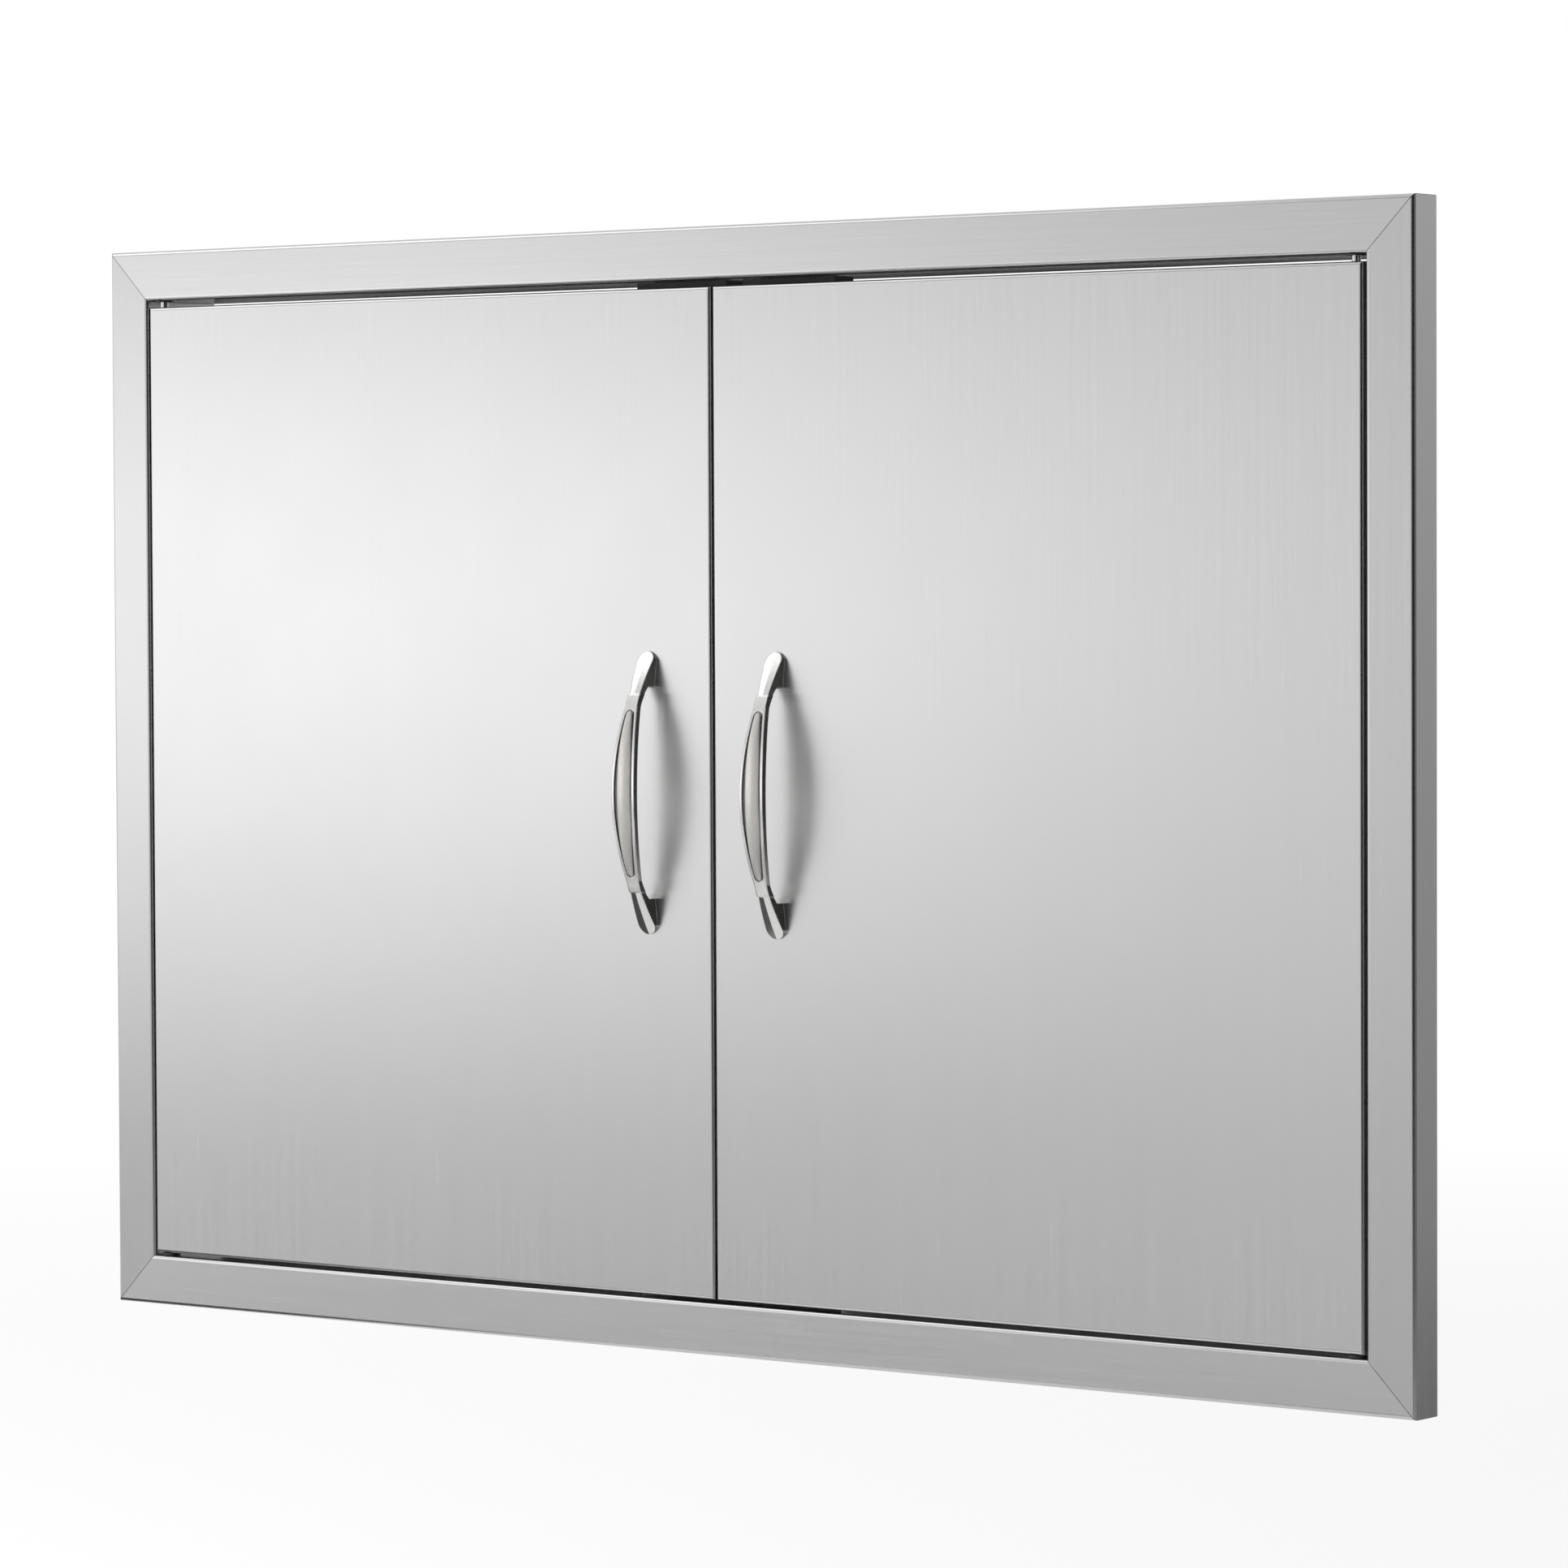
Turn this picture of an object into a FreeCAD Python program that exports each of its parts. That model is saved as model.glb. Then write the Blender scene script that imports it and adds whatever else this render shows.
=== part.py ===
"""Double access door for an outdoor kitchen island, in brushed stainless sheet.

Millimetres. +X is to the right, +Y goes into the wall and +Z is up. The origin is the centre
of the opening on the wall's face, where the trim flange rests.
"""

import FreeCAD, Part
import math
import os
import re

import Sketcher

Vector = FreeCAD.Vector

# Driving sizes, each with what it measures
SIZES = [
    ("frame_width", 775.0, "outside of the trim, left to right"),
    ("frame_height", 533.0, "outside of the trim, bottom to top"),
    ("trim_depth", 20.0, "the trim stands this far off the wall"),
    ("face_border", 25.0, "width of the flat face around the opening"),
    ("frame_sheet", 1.0, "sheet of the frame's rails"),
    ("rear_lip", 9.0, "flange that lies on the wall, turned inward"),
    ("sleeve_depth", 30.0, "the sleeve reaches this far into the cut-out"),
    ("bend_inside", 1.0, "inside radius of the other sheet bends"),
    ("mitre_gap", 0.25, "hairline between two rails at a corner"),
    ("gusset_leg", 70.0, "leg of the plate behind each mitre"),
    ("gusset_width", 18.0, "width of each leg"),
    ("gusset_sheet", 0.9, "plate behind each mitre"),
    ("gusset_inset", 3.0, "from the trim's outer edge to the plate"),
    ("screw_hole_r", 2.5, "fixing holes in the sleeve"),
    ("screw_hole_depth", 18.0, "fixing holes, from the wall's face inward"),
    ("stile_hole_pitch", 300.0, "between the two holes of a stile"),
    ("rail_hole_pitch", 480.0, "between the two holes of a rail"),
    ("door_gap", 2.5, "gap above and below the doors, halfway between the two"),
    ("door_drop", 0.9, "the doors hang this far below the middle"),
    ("side_gap", 1.5, "gap between each door and its stile"),
    ("mid_gap", 1.4, "gap between the doors"),
    ("door_sheet", 1.0, "sheet of the door skins"),
    ("door_depth", 16.0, "depth of the door pan"),
    ("door_lip", 12.0, "lip turned inward at the pan's back"),
    ("door_bend", 0.6, "inside radius of the door skins' bends"),
    ("hinge_inset", 6.0, "pivot line from the door's hinged edge"),
    ("hinge_setback", 5.0, "pivot line behind the door's face"),
    ("pivot_r", 2.0, "pivot pins"),
    ("pivot_play", 0.06, "radial play of a pin in its bush"),
    ("pin_fit", 0.05, "radial play of a pin in its brackets"),
    ("bush_wall", 0.84, "wall of the nylon bush"),
    ("bush_play", 0.05, "radial play of a bush in the sheet"),
    ("bush_flange_r", 4.5, "flange of the bush in the door gap"),
    ("bush_flange", 0.6, "thickness of that flange"),
    ("bush_length", 5.0, "bush beyond the opening's edge"),
    ("pin_reach", 4.5, "pins beyond the opening's edge"),
    ("washer_play", 0.2, "above the thrust washer"),
    ("bracket_sheet", 2.0, "plate of the pivot brackets"),
    ("bracket_width", 11.0, "pivot brackets, front to back"),
    ("bracket_length", 26.0, "pivot brackets along the door's edge"),
    ("bracket_drop", 32.0, "height of the sprung pin's bracket"),
    ("bracket_play", 0.3, "from the brackets to the pan's bends"),
    ("pin_head_r", 3.6, "head of the lower pivot pin"),
    ("pin_head", 1.6, "thickness of that head"),
    ("pin_tail", 18.0, "finger tail of the sprung pin"),
    ("tail_bend", 5.0, "bend radius of the tail"),
    ("tail_clear", 4.0, "from the bracket down to the tail's bend"),
    ("clip_r", 4.0, "clip that holds the spring"),
    ("clip_sheet", 1.2, "thickness of the clip"),
    ("clip_play", 0.2, "from the clip to the bracket"),
    ("spring_wire_r", 0.4, "wire of the pin's spring"),
    ("spring_r", 3.0, "mean radius of the pin's spring"),
    ("spring_turns", 9.0, "coils of the pin's spring"),
    ("spring_seat", 0.05, "from the spring's ends to its seats"),
    ("stiffener_width", 50.0, "hat channel behind each skin"),
    ("stiffener_crown", 26.0, "crown of the hat channel"),
    ("stiffener_depth", 11.0, "depth of the hat channel"),
    ("stiffener_sheet", 0.8, "sheet of the hat channel"),
    ("stiffener_end", 6.0, "from the channel's ends to the pan's returns"),
    ("backing_width", 24.0, "plate behind each pull"),
    ("backing_height", 150.0, "plate behind each pull"),
    ("backing_sheet", 1.5, "plate behind each pull"),
    ("pull_line", 38.4, "pull from the middle of the frame"),
    ("pull_drop", 0.8, "pull below mid-height"),
    ("pull_length", 134.6, "pull from tip to tip"),
    ("pull_reach", 20.2, "pull's rims off the door"),
    ("pull_tip", 0.9, "front arc off the door at the tips"),
    ("pull_strap", 2.6, "thickness of the bow"),
    ("strap_half", 38.5, "half length of the bow's even part"),
    ("strap_root", 5.1, "thickness of the bow where it meets the feet"),
    ("pull_width", 13.6, "bow at its middle"),
    ("pull_neck", 7.2, "bow at its necks"),
    ("foot_start", 6.4, "feet where they leave the necks"),
    ("pull_foot", 9.5, "feet near their tips"),
    ("neck_start", 41.5, "neck's near end from the middle"),
    ("neck_end", 47.0, "neck's far end from the middle"),
    ("foot_inner", 50.2, "feet start this far from the middle"),
    ("pull_bolt_pitch", 113.0, "between the pull's screws"),
    ("foot_step", 0.25, "feet step down from the necks"),
    ("ridge_fall", 0.55, "from a foot's ridge to its edges near the tip"),
    ("rim_width", 1.5, "rim beside the grip insert"),
    ("recess_half", 39.8, "half length of the insert's recess"),
    ("recess_end", 2.6, "half width of the recess at its ends"),
    ("recess_depth", 1.2, "depth of the recess"),
    ("insert_play", 0.75, "between the insert and its recess"),
    ("insert_bond", 0.3, "adhesive under the insert"),
    ("insert_crown", 0.6, "the insert stands proud of the rims"),
    ("insert_round", 9.0, "radius of the insert's crowned section"),
    ("pull_screw_r", 2.0, "screws of the pull"),
    ("pull_screw_bite", 3.9, "screws reach into the feet"),
    ("pull_thread_play", 0.05, "radial play of the screws"),
    ("pull_hole_spare", 0.4, "screw holes past the screw's tip"),
    ("pull_washer_r", 5.0, "washers of the pull's screws"),
    ("pull_washer", 0.8, "thickness of those washers"),
    ("pull_head_r", 3.8, "heads of the pull's screws"),
    ("pull_head", 2.4, "height of those heads"),
    ("drive_r", 1.3, "cross drive in every screw head"),
    ("drive_depth", 1.1, "depth of the drive"),
    ("catch_line", 32.0, "magnetic catches from the middle"),
    ("catch_width", 34.0, "body of a catch"),
    ("catch_height", 14.0, "body of a catch"),
    ("catch_depth", 15.0, "body of a catch"),
    ("catch_ear", 10.0, "ears beside the body"),
    ("catch_ear_sheet", 3.0, "thickness of the ears"),
    ("catch_wall", 1.8, "wall round the magnet"),
    ("magnet_thick", 5.6, "magnet between its pole plates"),
    ("pole_sheet", 1.2, "pole plates"),
    ("pole_proud", 1.0, "pole plates stand out of the body"),
    ("magnet_set", 1.0, "magnet behind the body's front"),
    ("magnet_play", 0.1, "round the magnet and plates"),
    ("catch_air", 0.2, "pole plates to the strike"),
    ("catch_screw_r", 1.6, "screws of a catch"),
    ("catch_head_r", 3.0, "heads of those screws"),
    ("catch_head", 1.9, "height of those heads"),
    ("catch_bite", 6.0, "those screws above the ears"),
    ("catch_screw_play", 0.05, "radial play of those screws"),
    ("strike_width", 30.0, "strike plate on the door's lip"),
    ("strike_height", 9.0, "strike plate on the door's lip"),
    ("strike_sheet", 1.2, "strike plate on the door's lip"),
    ("rivet_r", 1.6, "rivets"),
    ("rivet_head_r", 2.8, "heads of the rivets"),
    ("rivet_head", 0.7, "height of the rivets' heads"),
    ("rivet_play", 0.05, "radial play of the rivets"),
    ("rivet_pitch", 22.0, "between the strike plate's rivets"),
    ("stop_width", 120.0, "stop bracket behind the doors"),
    ("stop_height", 22.0, "stop bracket"),
    ("stop_foot", 24.0, "stop bracket's foot, front to back"),
    ("stop_sheet", 1.5, "stop bracket"),
    ("stop_rivet_spacing", 90.0, "between the stop bracket's rivets"),
    ("bumper_line", 32.0, "bumpers from the middle"),
    ("bumper_rise", 12.0, "bumpers above the bracket's foot"),
    ("bumper_r", 5.0, "rubber bumpers"),
    ("bumper_thick", 3.0, "rubber bumpers in front of the bracket"),
    ("bumper_stem_r", 2.2, "stems of the bumpers"),
    ("bumper_barb_r", 3.2, "barbs behind the bracket"),
    ("bumper_barb", 1.8, "length of the barbs"),
    ("bumper_play", 0.05, "radial play of the bumpers' stems"),
    ("bumper_air", 0.3, "bumpers to the closed doors"),
]

doc = FreeCAD.newDocument("access_door")
sheet = doc.addObject("Spreadsheet::Sheet", "Sizes")
for row, (alias, value, meaning) in enumerate(SIZES, start=1):
    sheet.set(f"A{row}", str(value))
    sheet.setAlias(f"A{row}", alias)
    sheet.set(f"B{row}", meaning)
doc.recompute()

ALIASES = re.compile(r"\b(" + "|".join(alias for alias, _, _ in SIZES) + r")\b")

# Cutting shapes reach this far past what they cut
PAST = "1"

# Places that several pieces share, in terms of the driving sizes
OPEN_X = "(frame_width / 2 - face_border)"
OPEN_Z = "(frame_height / 2 - face_border)"
FRONT = "(-trim_depth)"
DOOR_X = f"({OPEN_X} - side_gap)"
DOOR_Z = f"({OPEN_Z} - door_gap)"
DOOR_TOP = f"({DOOR_Z} - door_drop)"
DOOR_FOOT = f"(-{DOOR_Z} - door_drop)"
DOOR_INNER = "(mid_gap / 2)"
SKIN_BACK = f"({FRONT} + door_sheet)"
PAN_BACK = f"({FRONT} + door_depth)"
HINGE_X = f"({DOOR_X} - hinge_inset)"
HINGE_Y = f"({FRONT} + hinge_setback)"
BUSH_R = "(pivot_r + pivot_play + bush_wall)"
PIN_HOLE_R = "(pivot_r + pin_fit)"
PULL_ARC = "((pull_length ^ 2 / 4 + (pull_reach - pull_tip) ^ 2) / (2 * (pull_reach - pull_tip)))"
PULL_CENTRE = f"({PULL_ARC} - pull_reach)"

parts = {}


def bound(text):
    """Gives an expression with each size's name pointed at the sheet."""
    return ALIASES.sub(r"Sizes.\1", text)


def number(text):
    """Gives the value of an expression of the sizes."""
    result = sheet.evalExpression(bound(text))
    return float(getattr(result, "Value", result))


def bind(thing, **expressions):
    """Ties properties of a document object to expressions of the sizes."""
    for name, text in expressions.items():
        thing.setExpression(name.replace("__", "."), bound(text))
    return thing


def place(thing, x="0", y="0", z="0"):
    """Ties an object's position to three expressions."""
    return bind(thing, Placement__Base__x=x, Placement__Base__y=y, Placement__Base__z=z)


def keep(thing, label):
    """Names a finished piece, which is written to a file of that name."""
    thing.Label = label
    parts[label] = thing
    return thing


def new_body(name):
    """Starts a body."""
    return doc.addObject("PartDesign::Body", name)


def new_sketch(body, name, plane):
    """Attaches a sketch to one of the body's own origin planes."""
    sketch = body.newObject("Sketcher::SketchObject", name)
    origin_plane = next(item for item in body.Origin.OriginFeatures if item.Role == plane)
    sketch.AttachmentSupport = (origin_plane, "")
    sketch.MapMode = "FlatFace"
    return sketch


def arc_between(start, end, radius):
    """Gives the arc from start to end, which turns left for a positive radius."""
    chord = end - start
    middle = (start + end) * 0.5
    away = math.sqrt(max(radius ** 2 - (chord.Length / 2) ** 2, 0.0))
    left = Vector(-chord.y, chord.x, 0).normalize()
    centre = middle + left * math.copysign(away, radius)
    angles = [math.atan2(point.y - centre.y, point.x - centre.x) for point in (start, end)]
    if radius < 0:
        angles.reverse()
    circle = Part.Circle(centre, Vector(0, 0, 1), abs(radius))
    return Part.ArcOfCircle(circle, *angles)


def add_loop(sketch, corners, bends=None):
    """Draws a closed loop whose corners, and the radii of its arcs, are expressions.

    bends holds, for a corner's index, the radius of the arc that leaves it and +1 where the
    arc turns left or -1 where it turns right.
    """
    bends = bends or {}
    first = sketch.GeometryCount
    count = len(corners)
    places = [Vector(number(x), number(y), 0) for x, y in corners]
    heads, tails = [], []
    for index, start in enumerate(places):
        end = places[(index + 1) % count]
        if index in bends:
            radius, turn = bends[index]
            sketch.addGeometry(arc_between(start, end, turn * number(radius)), False)
            heads.append(1 if turn > 0 else 2)
            tails.append(2 if turn > 0 else 1)
        else:
            sketch.addGeometry(Part.LineSegment(start, end), False)
            heads.append(1)
            tails.append(2)
    for index in range(count):
        after = (index + 1) % count
        sketch.addConstraint(
            Sketcher.Constraint("Coincident", first + index, tails[index], first + after, heads[after])
        )
    for index, (x_text, y_text) in enumerate(corners):
        for kind, text, value in (
            ("DistanceX", x_text, places[index].x),
            ("DistanceY", y_text, places[index].y),
        ):
            item = sketch.addConstraint(
                Sketcher.Constraint(kind, -1, 1, first + index, heads[index], value)
            )
            sketch.setExpression(f"Constraints[{item}]", bound(text))
        if index in bends:
            text = bends[index][0]
            item = sketch.addConstraint(
                Sketcher.Constraint("Radius", first + index, number(text))
            )
            sketch.setExpression(f"Constraints[{item}]", bound(text))


def add_circle(sketch, x, y, radius):
    """Draws a circle whose centre and radius are expressions."""
    centre = Vector(number(x), number(y), 0)
    index = sketch.addGeometry(Part.Circle(centre, Vector(0, 0, 1), number(radius)), False)
    for kind, text, value in (("DistanceX", x, centre.x), ("DistanceY", y, centre.y)):
        item = sketch.addConstraint(Sketcher.Constraint(kind, -1, 1, index, 3, value))
        sketch.setExpression(f"Constraints[{item}]", bound(text))
    item = sketch.addConstraint(Sketcher.Constraint("Radius", index, number(radius)))
    sketch.setExpression(f"Constraints[{item}]", bound(radius))


def rectangle(x_low, x_high, y_low, y_high):
    """Gives the four corners of a rectangle, turning left."""
    return [(x_low, y_low), (x_high, y_low), (x_high, y_high), (x_low, y_high)]


def pad(body, sketch, length, both_ways=True):
    """Thickens a sketch."""
    feature = body.newObject("PartDesign::Pad", "Pad")
    feature.Profile = sketch
    feature.Midplane = both_ways
    bind(feature, Length=length)
    sketch.Visibility = False
    doc.recompute()
    return feature


def pocket_through(body, sketch):
    """Cuts a sketch right through, both ways from its plane."""
    before = body.Shape.Volume
    feature = body.newObject("PartDesign::Pocket", "Pocket")
    feature.Profile = sketch
    feature.Type = "ThroughAll"
    feature.Midplane = True
    sketch.Visibility = False
    doc.recompute()
    if feature.Shape.Volume >= before:
        raise RuntimeError(f"{body.Name}: {sketch.Name} cuts nothing")
    return feature


def fillet_edges(body, radius, wanted):
    """Rounds the edges of the body's last feature that wanted picks."""
    base = body.Tip
    names = [f"Edge{n}" for n, edge in enumerate(base.Shape.Edges, start=1) if wanted(edge)]
    feature = body.newObject("PartDesign::Fillet", "Fillet")
    feature.Base = (base, names)
    bind(feature, Radius=radius)
    doc.recompute()
    return feature


def runs_at(axis, places):
    """Gives a test for straight edges along an axis that pass through given places."""
    others = [name for name in "xyz" if name != axis]

    def wanted(edge):
        ends = [vertex.Point for vertex in edge.Vertexes]
        if len(ends) != 2:
            return False
        flat = all(abs(getattr(ends[0], n) - getattr(ends[1], n)) < 1e-4 for n in others)
        spot = [getattr(ends[0], n) for n in others]
        near = any(math.dist(spot, place_) < 1e-3 for place_ in places)
        return flat and near and edge.Length > 1.0

    return wanted


def block(name, x_range, y_range, z_range):
    """Makes a box from three pairs of expressions."""
    box = doc.addObject("Part::Box", name)
    sides = {}
    for side, (low, high) in zip(("Length", "Width", "Height"), (x_range, y_range, z_range)):
        sides[side] = f"({high}) - ({low})"
    bind(box, **sides)
    return place(box, x_range[0], y_range[0], z_range[0])


def rod(name, radius, axis, start, length):
    """Makes a cylinder from a start point along +X, +Y or +Z."""
    cylinder = doc.addObject("Part::Cylinder", name)
    turns = {"x": (Vector(0, 1, 0), 90), "y": (Vector(1, 0, 0), -90), "z": (Vector(0, 0, 1), 0)}
    cylinder.Placement.Rotation = FreeCAD.Rotation(*turns[axis])
    bind(cylinder, Radius=radius, Height=length)
    return place(cylinder, *start)


def joined(name, shapes):
    """Makes one solid of several that touch or overlap."""
    union = doc.addObject("Part::MultiFuse", name)
    union.Shapes = shapes
    union.Refine = True
    return union


def cut(name, base, tool):
    """Takes one object away from another."""
    result = doc.addObject("Part::Cut", name)
    result.Base = base
    result.Tool = tool
    return result


def common(name, base, tool):
    """Keeps what two objects share."""
    result = doc.addObject("Part::Common", name)
    result.Base = base
    result.Tool = tool
    return result


def group(name, solids):
    """Gathers separate solids into one piece of the list."""
    compound = doc.addObject("Part::Compound", name)
    compound.Links = solids
    return compound


def mirrored(source, label, normal=Vector(1, 0, 0)):
    """Makes the other hand of a piece, across the frame's middle."""
    mirror = doc.addObject("Part::Mirroring", label)
    mirror.Source = source
    mirror.Normal = normal
    return keep(mirror, label)


def channel_corners(half_outer, half_opening):
    """Gives a rail's section as (depth, outward) corners, from the lip round to the sleeve."""
    edge = "frame_sheet"
    return [
        ("0", f"{half_outer} - rear_lip"),
        ("0", half_outer),
        (FRONT, half_outer),
        (FRONT, half_opening),
        ("sleeve_depth", half_opening),
        ("sleeve_depth", f"{half_opening} + {edge}"),
        (f"{FRONT} + {edge}", f"{half_opening} + {edge}"),
        (f"{FRONT} + {edge}", f"{half_outer} - {edge}"),
        (f"-{edge}", f"{half_outer} - {edge}"),
        (f"-{edge}", f"{half_outer} - rear_lip"),
    ]


def bend_channel(body, along, depth_first):
    """Rounds the three bends of a rail, outside and inside."""
    half = "frame_height / 2" if along == "x" else "frame_width / 2"
    side = 1 if depth_first else -1
    corners = channel_corners(half, f"({half} - face_border)")
    spots = [(number(depth), number(out)) for depth, out in corners]
    ordered = [(a, side * b) if along == "x" else (side * b, a) for a, b in spots]
    outer = [ordered[index] for index in (1, 2, 3)]
    inner = [ordered[index] for index in (8, 7, 6)]
    fillet_edges(body, "bend_inside + frame_sheet", runs_at(along, outer))
    fillet_edges(body, "bend_inside", runs_at(along, inner))


def make_rail(label, side):
    """Makes the top rail (side 1) or the bottom rail (side -1)."""
    body = new_body(label)
    section = new_sketch(body, f"{label}_section", "YZ_Plane")
    corners = channel_corners("frame_height / 2", OPEN_Z)
    add_loop(section, [(depth, f"{side} * ({out})") for depth, out in corners])
    pad(body, section, "frame_width")
    bend_channel(body, "x", side > 0)

    mitres = new_sketch(body, f"{label}_mitres", "XZ_Plane")
    for end in (1, -1):
        corner_x = "frame_width / 2 - mitre_gap * sqrt(2) / 2"
        far_x = f"(frame_width / 2 + 2 * {PAST})"
        loop = [
            (f"{end} * ({corner_x} + {PAST})", f"{side} * (frame_height / 2 + {PAST})"),
            (f"{end} * ({corner_x} - face_border - {PAST})", f"{side} * ({OPEN_Z} - {PAST})"),
            (f"{end} * {far_x}", f"{side} * ({OPEN_Z} - {PAST})"),
            (f"{end} * {far_x}", f"{side} * (frame_height / 2 + {PAST})"),
        ]
        add_loop(mitres, loop)
    pocket_through(body, mitres)

    holes = new_sketch(body, f"{label}_holes", "XY_Plane")
    for end in (1, -1):
        add_circle(holes, f"{end} * {HINGE_X}", HINGE_Y, f"{BUSH_R} + bush_play")
        add_circle(holes, f"{end} * rail_hole_pitch / 2", "screw_hole_depth", "screw_hole_r")
        if side > 0:
            for ear in (1, -1):
                spot = f"{end} * catch_line + {ear} * (catch_width + catch_ear) / 2"
                add_circle(holes, spot, CATCH_MIDDLE, "catch_screw_r + catch_screw_play")
        else:
            spot = f"{end} * stop_rivet_spacing / 2"
            add_circle(holes, spot, STOP_RIVET_Y, "rivet_r + rivet_play")
    sleeve_cut = body.newObject("PartDesign::Pocket", "SleeveHoles")
    sleeve_cut.Profile = holes
    sleeve_cut.Reversed = side > 0
    before = body.Shape.Volume
    bind(sleeve_cut, Length=f"{OPEN_Z} + face_border / 2")
    holes.Visibility = False
    doc.recompute()
    if sleeve_cut.Shape.Volume >= before:
        raise RuntimeError(f"{label}: the sleeve's holes cut nothing")
    return keep(body, label)


def make_stile(label):
    """Makes the left stile."""
    body = new_body(label)
    section = new_sketch(body, f"{label}_section", "XY_Plane")
    corners = channel_corners("frame_width / 2", OPEN_X)
    add_loop(section, [(f"-({out})", depth) for depth, out in corners])
    pad(body, section, "frame_height")
    bend_channel(body, "z", False)

    mitres = new_sketch(body, f"{label}_mitres", "XZ_Plane")
    for end in (1, -1):
        corner_z = "frame_height / 2 - mitre_gap * sqrt(2) / 2"
        far_z = f"(frame_height / 2 + 2 * {PAST})"
        loop = [
            (f"-(frame_width / 2 + {PAST})", f"{end} * ({corner_z} + {PAST})"),
            (f"-({OPEN_X} - {PAST})", f"{end} * ({corner_z} - face_border - {PAST})"),
            (f"-({OPEN_X} - {PAST})", f"{end} * {far_z}"),
            (f"-(frame_width / 2 + {PAST})", f"{end} * {far_z}"),
        ]
        add_loop(mitres, loop)
    pocket_through(body, mitres)

    holes = new_sketch(body, f"{label}_holes", "YZ_Plane")
    for end in (1, -1):
        add_circle(holes, "screw_hole_depth", f"{end} * stile_hole_pitch / 2", "screw_hole_r")
    pocket_through(body, holes)
    return keep(body, label)


def make_gusset(label, left, top):
    """Makes the L-shaped plate spot-welded behind one mitre."""
    body = new_body(label)
    sketch = new_sketch(body, f"{label}_shape", "XZ_Plane")
    outer_x = "(frame_width / 2 - gusset_inset)"
    outer_z = "(frame_height / 2 - gusset_inset)"
    corners = [
        (outer_x, outer_z),
        (f"{outer_x} - gusset_leg", outer_z),
        (f"{outer_x} - gusset_leg", f"{outer_z} - gusset_width"),
        (f"{outer_x} - gusset_width", f"{outer_z} - gusset_width"),
        (f"{outer_x} - gusset_width", f"{outer_z} - gusset_leg"),
        (outer_x, f"{outer_z} - gusset_leg"),
    ]
    add_loop(sketch, [(f"{left} * ({x})", f"{top} * ({z})") for x, z in corners])
    feature = pad(body, sketch, "gusset_sheet", both_ways=False)
    feature.Reversed = True
    place(body, y=f"{FRONT} + frame_sheet")
    return keep(body, label)


def make_bush(label, side):
    """Makes a flanged nylon bush, for the top (side 1) or the bottom (side -1)."""
    start = (f"-{HINGE_X}", HINGE_Y, f"{OPEN_Z} - bush_flange")
    flange = rod(f"{label}_flange", "bush_flange_r", "z", start, "bush_flange")
    wall = rod(f"{label}_wall", BUSH_R, "z", start, "bush_flange + bush_length")
    bore = rod(f"{label}_bore", "pivot_r + pivot_play", "z", start, "bush_flange + bush_length")
    bush = cut(f"{label}_shape", joined(f"{label}_body", [flange, wall]), bore)
    if side > 0:
        return keep(bush, label)
    return mirrored(bush, label, Vector(0, 0, 1))


def make_screw(name, radius, head_r, head, axis, tip, bite):
    """Makes a pan-head screw; axis is y (head at +Y) or z (head at -Z)."""
    x, y, z = tip
    if axis == "y":
        shank = rod(f"{name}_shank", radius, "y", tip, bite)
        head_start = (x, f"{y} + {bite}", z)
        drive_start = (x, f"{y} + {bite} + {head} - drive_depth", z)
    else:
        shank = rod(f"{name}_shank", radius, "z", (x, y, f"{z} - ({bite})"), bite)
        head_start = (x, y, f"{z} - ({bite}) - {head}")
        drive_start = head_start
    cap = rod(f"{name}_head", head_r, axis, head_start, head)
    drive = rod(f"{name}_drive", "drive_r", axis, drive_start, "drive_depth")
    return cut(name, joined(f"{name}_blank", [shank, cap]), drive)


# The catches stand behind the doors' strike plates, and the stop bracket's rivets behind it
CATCH_FACE = f"({PAN_BACK} + strike_sheet + catch_air)"
CATCH_FRONT = f"({CATCH_FACE} + pole_proud)"
CATCH_MIDDLE = f"({CATCH_FRONT} + catch_depth / 2)"
CATCH_TOP = OPEN_Z
CATCH_CAVITY = "(magnet_thick + 2 * pole_sheet + 2 * magnet_play)"
STOP_FRONT = f"({PAN_BACK} + bumper_air + bumper_thick)"
STOP_RIVET_Y = f"({STOP_FRONT} + stop_foot / 2)"


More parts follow.
